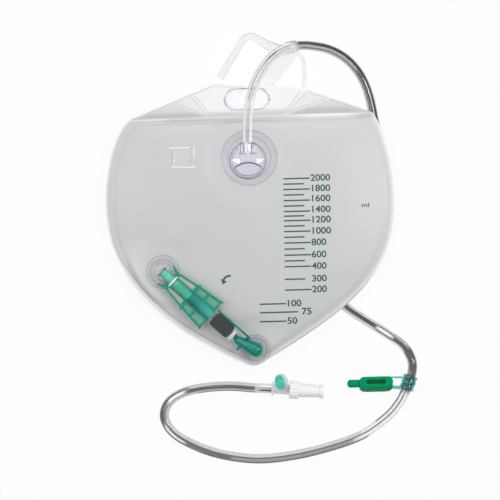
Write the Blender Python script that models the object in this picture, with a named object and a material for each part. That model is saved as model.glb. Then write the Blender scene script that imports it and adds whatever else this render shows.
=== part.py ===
"""Urine drainage bag with its hanger, tube, sheet clip, sample port and outlet.

The bag lies on its back: +X to its right, +Y towards the hanger and +Z out of its front.
The origin is on the floor, halfway between the bag's tip and the top of the hanger.
All lengths are in metres.
"""

from math import acos, asin, cos, pi, radians, sin, tan

import bmesh
import bpy
from mathutils import Matrix, Vector
from mathutils.bvhtree import BVHTree

# Whole object. Places on the header, hanger, chamber and vent are given as x and the distance
# below the hanger's top. Places near the outlet are given as x and the distance above the tip
HALF_LENGTH = 0.167
HALF_WIDTH = 0.1445
FIT_GAP = 0.0003

# Bag: two sheets of film welded along their edge
FILM = 0.0006
RIM_HEIGHT = 0.0103
FRONT_RISE = 0.0065
WELD_SHARE = 0.965
CROWN_SHARE = 0.5
FOOT_OUTER_SHARE = 0.76
FOOT_INNER_SHARE = 0.44
FRONT_CENTRE = (0.0, -0.010)
FOOT_CENTRE = (-0.018, 0.002)
LEVEL_MARGIN = 0.010
LEVEL_BLEND = 0.014
SHOULDER_DROPS = ((-0.1185, 0.0850), (0.1250, 0.0835))
SHOULDER_PULL_DROP = (0.1345, 0.0960)
SIDE_PULL = 0.0300
FLANK_PULLS = (-0.0704, -0.0783)
TIP_PULL_RISES = ((-0.1099, 0.0499), (0.1035, 0.0574))
TIP_X = -0.0014
TIP_RADIUS = 0.016
TIP_FROM = radians(-115)
TIP_TO = radians(-60)

# Header: the flat panel above the top weld, with room for stiffener and hanger
HEADER_TOP_DROPS = ((-0.0320, 0.0510), (0.0570, 0.0575))
HEADER_EDGE = 0.002
STIFFENER = 0.0008
STIFFENER_FOOT_DROPS = ((-0.0410, 0.0785), (0.0410, 0.0795))
STIFFENER_CORNER = 0.24

# Hanger: one clear moulding
HANGER_PLATE = 0.001
HANGER_THICK = 0.0046
PLATE_DROPS = (
    (-0.0265, 0.0778), (0.0265, 0.0780), (0.0480, 0.0710), (0.0592, 0.0630),
    (0.0594, 0.0490), (0.0560, 0.0490), (0.0530, 0.0600), (0.0262, 0.0580),
    (0.0290, 0.0465), (0.0140, 0.0460), (0.0100, 0.0550), (-0.0265, 0.0540),
)
HOOK_ROOT_WIDTH = 0.0130
HOOK_WIDTH = 0.0082
HOOK_TAPER = 0.45
HOOK_DROPS = (
    (0.0410, 0.0230), (0.0320, 0.0185), (0.0215, 0.0135), (0.0110, 0.0068), (0.0045, 0.0042),
    (-0.0030, 0.0080), (-0.0130, 0.0235), (-0.0268, 0.0453),
)
STEM_FOOT = (0.0100, 0.0262)
STEM_DROPS = ((0.0490, 0.0286), (0.0510, 0.0200), (0.0420, 0.0155), (0.0250, 0.0180), (0.0212, 0.0230))
STEM_CLEAR = 0.0010
STEM_INSET = 0.0004
LEG_WIDTH = 0.0045
LEG_INSET = 0.0002
LEG_DROPS = ((0.0470, 0.0215), (0.0530, 0.0238), (0.0568, 0.0300), (0.0577, 0.0430), (0.0568, 0.0610))
BOSS_DROP = (-0.0004, 0.0670)
BOSS_LENGTH = 0.044
BOSS_WIDTH = 0.020
BOSS_PROUD = 0.0016
BOSS_WALL = 0.0022
TUBE_CLIP_NEAR_DROP = (0.0440, 0.0170)
TUBE_CLIP_LENGTH = 0.011
TUBE_CLIP_WALL = 0.0014
TUBE_CLIP_POST = 0.0090
TUBE_CLIP_MOUTH = 0.0062

# Drainage tube
TUBE_OD = 0.0096
TUBE_BORE = 0.0071
TUBE_CLEARANCE = 0.0004
TUBE_SPACING = 2 * TUBE_OD
FLOOR_Z = TUBE_OD / 2 + FIT_GAP

# Anti-reflux chamber on the front film
CHAMBER_DROP = (-0.0010, 0.1285)
CHAMBER_LEVEL = 0.0163
CHAMBER_R = 0.0177
CHAMBER_HEIGHT = 0.0132
CHAMBER_WALL = 0.0012
CHAMBER_FLANGE_R = 0.028
CHAMBER_FLANGE_DROP = (0.0004, 0.1258)
CHAMBER_HOLE_R = 0.0050
FLANGE = 0.0008
SOCKET_WIDTH = 0.0184
SOCKET_TOP = 0.0127
SOCKET_CORNER = 0.0012
SOCKET_AXIS = 0.0072
SOCKET_DEPTH = 0.0120
SOCKET_SEAT = 0.0106
FLAP_R = 0.0158
FLAP_EDGE_R = 0.021
FLAP_CREST = 0.0023

# Vent patch
VENT_DROP = (-0.0672, 0.1232)
VENT_SIDE = 0.0190
VENT_FRAME = 0.0022
VENT_THICK = 0.0008

# Outlet: dock, nozzle, guard, drain tube, lever and elbow along one line
OUTLET_RISE_FROM_TIP = (-0.0900, 0.0968)
OUTLET_ANGLE = radians(-43)
DOCK_PLACE = (0.0012, 0.0006)
DOCK_LEVEL = 0.0166
DOCK_FLANGE_R = 0.017
DOCK_FLANGE = 0.0010
DOCK_RIB_R = 0.0125
DOCK_RIB = 0.0012
DOCK_SLEEVE_R = 0.0065
DOCK_BORE_R = 0.0050
DOCK_MOUTH = 0.0140
OUTLET_RISE = 0.0069
NOZZLE_R = 0.0047
NOZZLE_BORE_R = 0.0033
NOZZLE_GRIP_R = 0.0053
SEAL_R = 0.0066
SEAL_LENGTH = 0.0019
GUARD_THICK = 0.0026
GUARD_WEB = 0.0008
GUARD_SLEEVE_START = 0.0380
GUARD_SLEEVE_END = 0.0670
GUARD_SLEEVE_R = 0.0059
GUARD_SLOT_HALF = 0.0057
GUARD_SLOT_START = 0.0122
GUARD_EDGE = (
    (0.0122, 0.0072), (0.0046, 0.0114), (0.0054, 0.0128), (0.0136, 0.0104),
    (0.0362, 0.0139), (0.0380, 0.0162), (0.0402, 0.0146), (0.0634, 0.0173),
    (0.0666, 0.0184), (0.0668, 0.0160), (0.0655, 0.0150), (0.0660, 0.0040),
)
GUARD_WINDOWS = (
    ((0.0158, 0.0067), (0.0158, 0.0083), (0.0352, 0.0113), (0.0352, 0.0067)),
    ((0.0396, 0.0070), (0.0396, 0.0121), (0.0494, 0.0132), (0.0494, 0.0072)),
    ((0.0514, 0.0072), (0.0514, 0.0134), (0.0640, 0.0149), (0.0640, 0.0070)),
)
NOZZLE_IN_GUARD = 0.0028
DRAIN_TUBE_R = 0.0042
DRAIN_BORE_R = 0.0029
DRAIN_START = 0.0565
DRAIN_END = 0.0982
STOP_PLACE = 0.0934
STOP_LENGTH = 0.0028
STOP_R = 0.0074
PORT_PLACE = (0.1218, 0.0038)
PORT_LEVEL = 0.0134
PORT_FLANGE_R = 0.015
PORT_FLANGE = 0.0012
PORT_RIB_R = 0.0115
PORT_HOLE_R = 0.0064
ELBOW_NECK = (0.1028, -0.0007)
ELBOW_NECK_R = 0.0043
ELBOW_BODY_R = 0.0076
ELBOW_STEM_R = 0.0060
SPIGOT_R = 0.0026
PIVOT_PLACE = 0.1080
PIN_R = 0.0013
PIN_REACH = 0.0089
EYE_R = 0.0030
EYE_CLEARANCE = 0.00035
ARM_INNER = 0.0077
ARM_OUTER = 0.0091
ARM_START = 0.0680
ARM_DEPTH = 0.0032
ARM_KNEE = 0.0962
CARRIER = 0.0008
CARRIER_MARGIN = 0.0010
PAD_FROM = 0.0693
PAD_TO = 0.0920
PAD_LEFT = -0.0073
PAD_THICK = 0.0016
PAD_CORNER = 0.0035

# Connector, sample port, adapter and cap along one line on the floor
CONNECTOR_START = (0.0015, -0.1892)
CONNECTOR_ANGLE = radians(-4.5)
CONNECTOR_Z = 0.0093
TUBE_STOP_PLACE = 0.0155
CONNECTOR_FLANGE_R = 0.0072
CONNECTOR_FLANGE = 0.0017
CONNECTOR_R = 0.0049
CONNECTOR_BORE_R = 0.0030
CONNECTOR_END = 0.0300
PORT_FACE = (0.0233, 0.0071, 0.0066)
PORT_TURN = radians(196)
PORT_ELEVATION = radians(41)
PORT_R = 0.0082
PORT_DEPTH = 0.0052
SEPTUM_R = 0.0069
SEPTUM_SEAT = 0.0016
SEPTUM_PROUD = 0.0012
ADAPTER_COLLAR_R = 0.0054
ADAPTER_COLLAR = 0.0020
ADAPTER_ROOT_R = 0.0043
ADAPTER_TIP_R = 0.0032
ADAPTER_BORE_R = 0.0019
ADAPTER_END = 0.0540
CAP_START = 0.0332
CAP_GRIP_END = 0.0425
CAP_GRIP_R = 0.0090
CAP_FLUTE = 0.0006
CAP_FLUTES = 20
CAP_R = 0.0073
CAP_TIP_R = 0.0059
CAP_TIP = 0.0632
CAP_LIP_END = 0.0674
CAP_LIP_R = 0.0071
CAP_WALL = 0.0013

# Sheet clip on the tube
CLIP_NEAR = (0.1540, -0.1880)
CLIP_Z = 0.0075
COLLAR_R = 0.0073
COLLAR_LENGTH = 0.0150
LOOP_CENTRE = (0.1215, -0.1887)
LOOP_LENGTH = 0.0340
LOOP_WIDTH = 0.0106
LOOP_WALL = 0.0015
LOOP_LOW = 0.0003
LOOP_HIGH = 0.0103
LOOP_LEAN = radians(28)
LOOP_RIBS = 9
LOOP_RIB = 0.0005
LOOP_RIB_SPAN = 0.0180
TONGUE_START = 0.0926
TONGUE_R = 0.0040
ARM_WIDTH = 0.0020
ARM_BAND = (0.0030, 0.0085)


def below_top(places):
    """Places measured down from the hanger's top."""
    return [(x, HALF_LENGTH - drop) for x, drop in places]


def above_tip(places):
    """Places measured up from the bag's tip."""
    return [(x, rise - HALF_LENGTH) for x, rise in places]


# Places and heights that follow from the sizes above
SHOULDER_LEFT, SHOULDER_RIGHT = below_top(SHOULDER_DROPS)
HEADER_TOP_LEFT, HEADER_TOP_RIGHT = below_top(HEADER_TOP_DROPS)
STIFFENER_FOOT_LEFT, STIFFENER_FOOT_RIGHT = below_top(STIFFENER_FOOT_DROPS)
SHOULDER_PULL, BOSS_CENTRE, TUBE_CLIP_NEAR = below_top((SHOULDER_PULL_DROP, BOSS_DROP, TUBE_CLIP_NEAR_DROP))
CHAMBER_PLACE, CHAMBER_FLANGE_PLACE, VENT_PLACE = below_top((CHAMBER_DROP, CHAMBER_FLANGE_DROP, VENT_DROP))
CHAMBER_HOLE_PLACE = (CHAMBER_PLACE[0], CHAMBER_PLACE[1] - (FLAP_CREST + FLAP_R) / 2)
TIP_PULL_LEFT, TIP_PULL_RIGHT = above_tip(TIP_PULL_RISES)
OUTLET_START = above_tip((OUTLET_RISE_FROM_TIP,))[0]
BACK_TOP = RIM_HEIGHT + FILM
FRONT_UNDER = BACK_TOP + FIT_GAP
FRONT_TOP = FRONT_UNDER + FILM
STIFFENER_Z = BACK_TOP + FIT_GAP
PLATE_Z = STIFFENER_Z + STIFFENER + FIT_GAP
HEADER_UNDER = PLATE_Z + HANGER_PLATE + FIT_GAP
HANGER_TOP = PLATE_Z + HANGER_PLATE
HANGER_LOW = HANGER_TOP - HANGER_THICK
TUBE_CLIP_R = TUBE_OD / 2 + TUBE_CLEARANCE
DOCK_BASE = DOCK_LEVEL + FIT_GAP
OUTLET_Z = DOCK_BASE + DOCK_FLANGE + OUTLET_RISE
PORT_BASE = PORT_LEVEL + FIT_GAP
OUTLET = Matrix.Translation((*OUTLET_START, OUTLET_Z)) @ Matrix.Rotation(OUTLET_ANGLE, 4, "Z")
CONNECTOR = Matrix.Translation((*CONNECTOR_START, CONNECTOR_Z)) @ Matrix.Rotation(CONNECTOR_ANGLE, 4, "Z")
ALONG_Z = Matrix.Rotation(-pi / 2, 4, "Y")
ALONG_Y = Matrix.Rotation(pi / 2, 4, "Z")

# The tube's route: chamber socket, over the header, through the hanger's clip, down to
# the floor, under the bag's right edge, through the sheet clip and round to the connector
ROUTE_START = (CHAMBER_PLACE[0], CHAMBER_PLACE[1] + CHAMBER_R - SOCKET_SEAT)
ROUTE_DROPS = (
    (-0.0008, 0.1030), (0.0002, 0.0850), (0.0028, 0.0680), (0.0082, 0.0520), (0.0162, 0.0375),
    (0.0272, 0.0250), (0.0400, 0.0178), (0.0530, 0.0153),
)
ROUTE_OVER_HEADER = 0.0225
ROUTE_REST = (
    (0.0670, 0.1510, 0.0182), (0.0838, 0.1472, 0.0150), (0.0982, 0.1392, 0.0115),
    (0.1100, 0.1272, 0.0084), (0.1180, 0.1129, 0.0066), (0.1228, 0.0978, 0.0054),
    (0.1260, 0.0810, FLOOR_Z), (0.1290, 0.0560, FLOOR_Z), (0.1290, 0.0250, FLOOR_Z),
    (0.1245, -0.0030, FLOOR_Z), (0.1120, -0.0290, FLOOR_Z), (0.0955, -0.0520, FLOOR_Z),
    (0.0835, -0.0740, FLOOR_Z), (0.0825, -0.0940, FLOOR_Z), (0.0925, -0.1095, FLOOR_Z),
    (0.1070, -0.1205, FLOOR_Z), (0.1230, -0.1312, FLOOR_Z), (0.1390, -0.1422, FLOOR_Z),
    (0.1510, -0.1525, 0.0060), (0.1580, -0.1660, 0.0072), (0.1572, -0.1800, CLIP_Z),
    (0.1505, -0.1970, CLIP_Z), (0.1430, -0.2100, 0.0063), (0.1300, -0.2235, FLOOR_Z),
    (0.1048, -0.2398, FLOOR_Z), (0.0725, -0.2505, FLOOR_Z), (0.0363, -0.2580, FLOOR_Z),
    (0.0002, -0.2605, FLOOR_Z), (-0.0357, -0.2550, FLOOR_Z), (-0.0625, -0.2450, FLOOR_Z),
    (-0.0830, -0.2320, FLOOR_Z), (-0.0915, -0.2160, FLOOR_Z), (-0.0860, -0.2010, FLOOR_Z),
    (-0.0710, -0.1920, FLOOR_Z), (-0.0500, -0.1878, 0.0058), (-0.0250, -0.1868, 0.0082),
)


def ease(share):
    """A smooth step from 0 to 1."""
    share = min(max(share, 0.0), 1.0)
    return share * share * (3 - 2 * share)


def mixed(a, b, share):
    return tuple(p + (q - p) * share for p, q in zip(a, b))


def bezier(points, steps):
    """Points on a cubic Bezier, without its last one."""
    p0, p1, p2, p3 = (Vector(p) for p in points)
    out = []
    for step in range(steps):
        t = step / steps
        u = 1 - t
        out.append(tuple(p0 * u**3 + p1 * 3 * u * u * t + p2 * 3 * u * t * t + p3 * t**3))
    return out


def arc(centre, radius, start, end, steps):
    """Points on an arc, both ends included."""
    angles = (start + (end - start) * i / steps for i in range(steps + 1))
    return [(centre[0] + radius * cos(a), centre[1] + radius * sin(a)) for a in angles]


def stadium(centre, length, width, steps=8):
    """An outline with straight sides along X and round ends."""
    half = (length - width) / 2
    right = arc((centre[0] + half, centre[1]), width / 2, -pi / 2, pi / 2, steps)
    left = arc((centre[0] - half, centre[1]), width / 2, pi / 2, 3 * pi / 2, steps)
    return right + left


def rounded(left, right, low, high, radius, steps=4):
    """A rectangle with round corners."""
    out = []
    for x, y, turn in ((right, low, -pi / 2), (right, high, 0), (left, high, pi / 2), (left, low, pi)):
        inward_x = radius if x == left else -radius
        inward_y = radius if y == low else -radius
        out += arc((x + inward_x, y + inward_y), radius, turn, turn + pi / 2, steps)
    return out


def smooth(points, steps=8):
    """A curve through the points (Catmull-Rom), ends included."""
    points = [Vector(p) for p in points]
    ends = [points[0] * 2 - points[1], *points, points[-1] * 2 - points[-2]]
    out = []
    for a, b, c, d in zip(ends, ends[1:], ends[2:], ends[3:]):
        for step in range(steps):
            t = step / steps
            tangents = (c - a) * t + (a * 2 - b * 5 + c * 4 - d) * t**2 + (b * 3 - a - c * 3 + d) * t**3
            out.append(b + tangents / 2)
    return [*out, points[-1]]


def evenly(points, spacing):
    """Points at an even spacing along a polyline, ends included."""
    reach = [0.0]
    for a, b in zip(points, points[1:]):
        reach.append(reach[-1] + (b - a).length)
    count = round(reach[-1] / spacing)
    out = [points[0]]
    place = 0
    for step in range(1, count):
        target = reach[-1] * step / count
        while reach[place + 1] < target:
            place += 1
        share = (target - reach[place]) / (reach[place + 1] - reach[place])
        out.append(points[place].lerp(points[place + 1], share))
    return [*out, points[-1]]


def strap(points, width, end_width=None, taper=1.0):
    """The outline of a band along a centre line. Its width changes over the taper's share."""
    points = [Vector(p[:2]) for p in points]
    left, right = [], []
    for i, point in enumerate(points):
        ahead = points[min(i + 1, len(points) - 1)] - points[max(i - 1, 0)]
        side = Vector((-ahead.y, ahead.x)).normalized()
        share = min(i / (len(points) - 1) / taper, 1.0)
        half = (width + ((end_width or width) - width) * share) / 2
        left.append(tuple(point + side * half))
        right.append(tuple(point - side * half))
    return right + left[::-1]


def finish(name, colour, roughness, alpha=1.0, transmission=0.0):
    """A Principled material with the piece's own colour."""
    made = bpy.data.materials.new(name)
    made.use_nodes = True
    shader = made.node_tree.nodes["Principled BSDF"]
    shader.inputs["Base Color"].default_value = (*colour, 1.0)
    shader.inputs["Roughness"].default_value = roughness
    shader.inputs["Metallic"].default_value = 0.0
    shader.inputs["Alpha"].default_value = alpha
    shader.inputs["Transmission Weight"].default_value = transmission
    made.diffuse_color = (*colour, alpha)
    return made


def add(name, mesh, material=None, placement=None):
    """Put a mesh in the scene as one object. Without a material it is a helper."""
    obj = bpy.data.objects.new(name, mesh)
    bpy.context.scene.collection.objects.link(obj)
    if placement is not None:
        obj.matrix_world = placement
    if material is None:
        obj.hide_render = True
        obj.display_type = "WIRE"
    else:
        mesh.materials.append(material)
    return obj


def mesh_from(bm, name, smooth_angle=None):
    bmesh.ops.recalc_face_normals(bm, faces=bm.faces)
    mesh = bpy.data.meshes.new(name)
    bm.to_mesh(mesh)
    bm.free()
    if smooth_angle is not None:
        mesh.shade_smooth()
        mesh.set_sharp_from_angle(angle=smooth_angle)
    return mesh


def prism(name, outline, low, high, material=None, placement=None):
    """An outline in X and Y drawn up from low to high."""
    bm = bmesh.new()
    base = [bm.verts.new((x, y, low)) for x, y in outline]
    face = bm.faces.new(base)
    if face.calc_area() == 0:
        raise ValueError(f"{name} has an empty outline")
    drawn = bmesh.ops.extrude_face_region(bm, geom=[face])
    tops = [v for v in drawn["geom"] if isinstance(v, bmesh.types.BMVert)]
    bmesh.ops.translate(bm, verts=tops, vec=(0, 0, high - low))
    return add(name, mesh_from(bm, name, radians(30)), material, placement)


def turned(name, profile, material=None, placement=None, sides=24, flutes=None):
    """A turned piece about local X. The profile holds (along, radius) points. One that ends
    on the axis is solid; any other is a closed ring. A third value is a flute depth.
    A helper is turned by part of a step, so that its corners miss those it cuts."""
    bm = bmesh.new()
    rings = []
    count = flutes * 2 if flutes else sides
    phase = 0.37 if material is None else 0.0
    for along, radius, *depth in profile:
        if radius == 0:
            rings.append([bm.verts.new((along, 0, 0))])
            continue
        ring = []
        for i in range(count):
            r = radius - (depth[0] if depth and i % 2 else 0)
            angle = 2 * pi * (i + phase) / count
            ring.append(bm.verts.new((along, r * cos(angle), r * sin(angle))))
        rings.append(ring)
    pairs = list(zip(rings, rings[1:]))
    if profile[0][1] > 0:
        pairs.append((rings[-1], rings[0]))
    for a, b in pairs:
        pole, rim = (a, b) if len(a) == 1 else (b, a)
        if len(pole) == 1 and pole[0].co.x == rim[0].co.x:
            bm.faces.new(rim)
            bm.verts.remove(pole[0])
            continue
        for i in range(count):
            j = (i + 1) % count
            corners = [a[i % len(a)], a[j % len(a)], b[j % len(b)], b[i % len(b)]]
            bm.faces.new(list(dict.fromkeys(corners)))
    return add(name, mesh_from(bm, name, radians(35)), material, placement)


def boolean(obj, operation, *others):
    for other in others:
        modifier = obj.modifiers.new(f"{operation.lower()} {other.name}", "BOOLEAN")
        modifier.operation = operation
        modifier.object = other
    return obj


def cut(obj, *others):
    return boolean(obj, "DIFFERENCE", *others)


def join(obj, *others):
    return boolean(obj, "UNION", *others)


def soften(obj, width, segments=2, angle=40):
    modifier = obj.modifiers.new("soft edges", "BEVEL")
    modifier.width = width
    modifier.segments = segments
    modifier.limit_method = "ANGLE"
    modifier.angle_limit = radians(angle)
    return obj


def disc_at(x, y, z):
    """A placement for a turned piece whose axis stands up at x, y and starts at z."""
    return Matrix.Translation((x, y, z)) @ ALONG_Z


def outlet_point(along, across, up=0.0):
    return OUTLET @ Vector((along, across, up))


# Bag outline
TOP_STEPS = 12
CORNER_STEP = 3
SIDE_STEPS = 6
FLANK_STEPS = 14
TIP_STEPS = 4
HEADER_ROWS = (0.16, 1.0)
SHARES = (1.0, WELD_SHARE, 0.89, 0.80, 0.70, 0.60, CROWN_SHARE, 0.38, 0.26)
BACK_SHARES = (1.0, FOOT_OUTER_SHARE, 0.70, 0.62, 0.54, FOOT_INNER_SHARE)


def pouch_outline():
    """The welded edge, counter-clockwise from the right shoulder along the top weld."""
    tip = (TIP_X, TIP_RADIUS - HALF_LENGTH)
    tip_arc = arc(tip, TIP_RADIUS, TIP_FROM, TIP_TO, TIP_STEPS)
    left_places = [(-HALF_WIDTH, y) for y in (SIDE_PULL, 0.0, FLANK_PULLS[0])]
    right_places = [(HALF_WIDTH, y) for y in (FLANK_PULLS[1], 0.0, SIDE_PULL)]
    shoulder_pull_left = (-SHOULDER_PULL[0], SHOULDER_PULL[1])
    top = [mixed(SHOULDER_RIGHT, SHOULDER_LEFT, i / TOP_STEPS) for i in range(TOP_STEPS)]
    side = bezier((SHOULDER_LEFT, shoulder_pull_left, *left_places[:2]), SIDE_STEPS)
    flank = bezier((*left_places[1:], TIP_PULL_LEFT, tip_arc[0]), FLANK_STEPS)
    back = bezier((tip_arc[-1], TIP_PULL_RIGHT, *right_places[:2]), FLANK_STEPS)
    rise = bezier((*right_places[1:], SHOULDER_PULL, SHOULDER_RIGHT), SIDE_STEPS)
    return top + side + flank + tip_arc[:-1] + back + rise


def header_outline():
    """The header's free edge from the right shoulder to the left one."""
    middle = TOP_STEPS - 2 * CORNER_STEP
    right = [mixed(SHOULDER_RIGHT, HEADER_TOP_RIGHT, i / CORNER_STEP) for i in range(CORNER_STEP)]
    top = [mixed(HEADER_TOP_RIGHT, HEADER_TOP_LEFT, i / middle) for i in range(middle)]
    left = [mixed(HEADER_TOP_LEFT, SHOULDER_LEFT, i / CORNER_STEP) for i in range(CORNER_STEP + 1)]
    return right + top + left


def film_sheet(name, material, centre, shares, height, header_z, side):
    """One film: rings of the outline drawn in towards a centre, and the header's rows.
    height gives the sheet's z for a place and its share of the way out to the edge."""
    outline = pouch_outline()
    count = len(outline)
    bm = bmesh.new()
    rings = []
    for share in shares:
        places = [mixed(centre, p, share) for p in outline]
        rings.append([bm.verts.new((x, y, height(x, y, share))) for x, y in places])
    for outer, inner in zip(rings, rings[1:]):
        for i in range(count):
            j = (i + 1) % count
            bm.faces.new((outer[i], outer[j], inner[j], inner[i]))
    bm.faces.new(rings[-1])
    weld = rings[0][: TOP_STEPS + 1]
    edge = header_outline()
    below = weld
    for row in HEADER_ROWS:
        above = [weld[0]]
        for i in range(1, TOP_STEPS):
            x, y = mixed(outline[i], edge[i], row)
            above.append(bm.verts.new((x, y, header_z)))
        above.append(weld[-1])
        for i in range(TOP_STEPS):
            corners = [below[i + 1], below[i], above[i], above[i + 1]]
            bm.faces.new(list(dict.fromkeys(corners)))
        below = above
    bm.normal_update()
    bm.faces.ensure_lookup_table()
    if bm.faces[0].normal.z < 0:
        bmesh.ops.reverse_faces(bm, faces=bm.faces)
    mesh = bpy.data.meshes.new(name)
    bm.to_mesh(mesh)
    bm.free()
    obj = add(name, mesh, material)
    shell = obj.modifiers.new("film", "SOLIDIFY")
    shell.thickness = FILM
    shell.offset = side
    return obj


def front_height(x, y, share):
    """The front sheet's underside: crowned, and level under each fitting."""
    climb = min(max((WELD_SHARE - share) / (WELD_SHARE - CROWN_SHARE), 0.0), 1.0)
    z = FRONT_UNDER + FRONT_RISE * (1 - (1 - climb) ** 2)
    if share >= WELD_SHARE:
        return z
    dock = outlet_point(*DOCK_PLACE)
    port = outlet_point(*PORT_PLACE)
    zones = (
        (CHAMBER_FLANGE_PLACE, CHAMBER_FLANGE_R, CHAMBER_LEVEL),
        ((dock.x, dock.y), DOCK_FLANGE_R, DOCK_LEVEL),
        ((port.x, port.y), PORT_FLANGE_R, PORT_LEVEL),
    )
    for place, radius, level in zones:
        away = (Vector((x, y)) - Vector(place)).length
        hold = 1 - ease((away - radius - LEVEL_MARGIN) / LEVEL_BLEND)
        z += (level - FILM - z) * hold
    return z


def back_height(x, y, share):
    """The back sheet's upper side: level out to the weld, with a broad foot inside."""
    drop = ease((FOOT_OUTER_SHARE - share) / (FOOT_OUTER_SHARE - FOOT_INNER_SHARE))
    return BACK_TOP - RIM_HEIGHT * drop


def make_films():
    """Front and back film. The front one is open under the boss, the chamber and the port."""
    front = film_sheet(
        "front_film", finish("front film", (0.62, 0.62, 0.62), 0.35, 0.6),
        FRONT_CENTRE, SHARES, front_height, HEADER_UNDER, 1,
    )
    port = outlet_point(*PORT_PLACE)
    boss = stadium(BOSS_CENTRE, BOSS_LENGTH + 2 * FIT_GAP, BOSS_WIDTH + 2 * FIT_GAP)
    top = FRONT_TOP + FRONT_RISE + CHAMBER_HEIGHT
    cut(
        front,
        prism("boss opening", boss, BACK_TOP, top),
        turned("chamber opening", ((0, 0), (0, CHAMBER_HOLE_R), (top, CHAMBER_HOLE_R), (top, 0)),
               placement=disc_at(*CHAMBER_HOLE_PLACE, BACK_TOP)),
        turned("port opening", ((0, 0), (0, PORT_HOLE_R), (top, PORT_HOLE_R), (top, 0)),
               placement=disc_at(port.x, port.y, BACK_TOP)),
    )
    film_sheet(
        "back_film", finish("back film", (0.66, 0.66, 0.66), 0.4, 0.6),
        FOOT_CENTRE, BACK_SHARES, back_height, BACK_TOP, -1,
    )
    return front


# Header stiffener and hanger
def make_stiffener():
    """White sheet between the films of the header, round the hanger's boss."""
    left = Vector(HEADER_TOP_LEFT) + Vector((HEADER_EDGE / 2, -HEADER_EDGE))
    right = Vector(HEADER_TOP_RIGHT) + Vector((-HEADER_EDGE / 2, -HEADER_EDGE))
    far_left = mixed(HEADER_TOP_LEFT, SHOULDER_LEFT, STIFFENER_CORNER)
    outline = (
        STIFFENER_FOOT_LEFT, STIFFENER_FOOT_RIGHT, tuple(right), tuple(left),
        (far_left[0] + HEADER_EDGE, far_left[1] - HEADER_EDGE),
    )
    sheet = finish("white stiffener", (0.86, 0.86, 0.88), 0.5)
    prism("header_stiffener", outline, STIFFENER_Z, STIFFENER_Z + STIFFENER, sheet)


def make_hanger(tube_line):
    """Plate and boss in the header, then stem, hook arm and leg, with a clip for the tube."""
    clear = finish("clear polypropylene", (0.90, 0.92, 0.93), 0.2, 0.5)
    hanger = prism("hanger", below_top(PLATE_DROPS), PLATE_Z, PLATE_Z + HANGER_PLATE, clear)
    boss_outer = stadium(BOSS_CENTRE, BOSS_LENGTH, BOSS_WIDTH)
    boss_inner = stadium(BOSS_CENTRE, BOSS_LENGTH - 2 * BOSS_WALL, BOSS_WIDTH - 2 * BOSS_WALL)
    boss_top = HEADER_UNDER + FILM + BOSS_PROUD
    boss = soften(prism("boss", boss_outer, PLATE_Z + HANGER_PLATE / 2, boss_top), 0.0005, 2)
    dish = prism("boss dish", boss_inner, HANGER_TOP + FILM / 2, boss_top + HANGER_THICK)

    arm = smooth([(x, y, 0) for x, y in below_top(HOOK_DROPS)], 3)
    band = strap(arm, HOOK_ROOT_WIDTH, HOOK_WIDTH, HOOK_TAPER)
    shift = HALF_LENGTH - max(y for _, y in band)
    band = [(x, y + shift) for x, y in band]
    hook = soften(prism("hook arm", band, HANGER_LOW, HANGER_TOP), 0.0012, 2)
    stem_outline = [(x, header_top_at(x) + STEM_CLEAR) for x in STEM_FOOT] + below_top(STEM_DROPS)
    stem = soften(prism("stem", stem_outline, HANGER_LOW + STEM_INSET, HANGER_TOP - STEM_INSET), 0.0008, 2)
    leg_line = smooth([(x, y, 0) for x, y in below_top(LEG_DROPS)], 3)
    leg_line = [p for p in leg_line if p.y > header_top_at(p.x) + STEM_CLEAR]
    leg_outline = strap(leg_line, LEG_WIDTH)
    leg = soften(prism("leg", leg_outline, HANGER_LOW + 3 * LEG_INSET, HANGER_TOP - LEG_INSET), 0.0010, 2)

    clip_at, clip_turn, clip_tilt = segment_near(tube_line, TUBE_CLIP_NEAR)
    placement = Matrix.Translation(clip_at) @ Matrix.Rotation(clip_turn, 4, "Z")
    placement = placement @ Matrix.Rotation(-clip_tilt, 4, "Y")
    half = TUBE_CLIP_LENGTH / 2
    wall = TUBE_CLIP_R + TUBE_CLIP_WALL
    ring = turned("tube clip", ((-half, 0), (-half, wall), (half, wall), (half, 0)), placement=placement)
    post_low = HANGER_TOP - HANGER_THICK / 2
    post_high = clip_at.z - TUBE_CLIP_R / 2
    post_outline = rounded(-half, half, -TUBE_CLIP_POST / 2, TUBE_CLIP_POST / 2, 0.001, 2)
    post_place = Matrix.Translation((clip_at.x, clip_at.y, 0)) @ Matrix.Rotation(clip_turn, 4, "Z")
    post = prism("tube clip post", post_outline, post_low, post_high, placement=post_place)
    bore_profile = ((-2 * half, 0), (-2 * half, TUBE_CLIP_R), (2 * half, TUBE_CLIP_R), (2 * half, 0))
    bore = turned("tube clip bore", bore_profile, placement=placement)
    slit = TUBE_CLIP_MOUTH / 2
    slit_outline = ((-2 * half, -slit), (2 * half, -slit), (2 * half, slit), (-2 * half, slit))
    mouth = prism("tube clip mouth", slit_outline, 0.0, wall * 2, placement=placement)
    join(hanger, boss)
    cut(hanger, dish)
    join(hanger, stem, hook, leg, ring, post)
    cut(hanger, bore, mouth)
    return hanger


def header_top_at(x):
    """The header's top edge at x."""
    (left, left_y), (right, right_y) = HEADER_TOP_LEFT, HEADER_TOP_RIGHT
    return left_y + (right_y - left_y) * (x - left) / (right - left)


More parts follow.
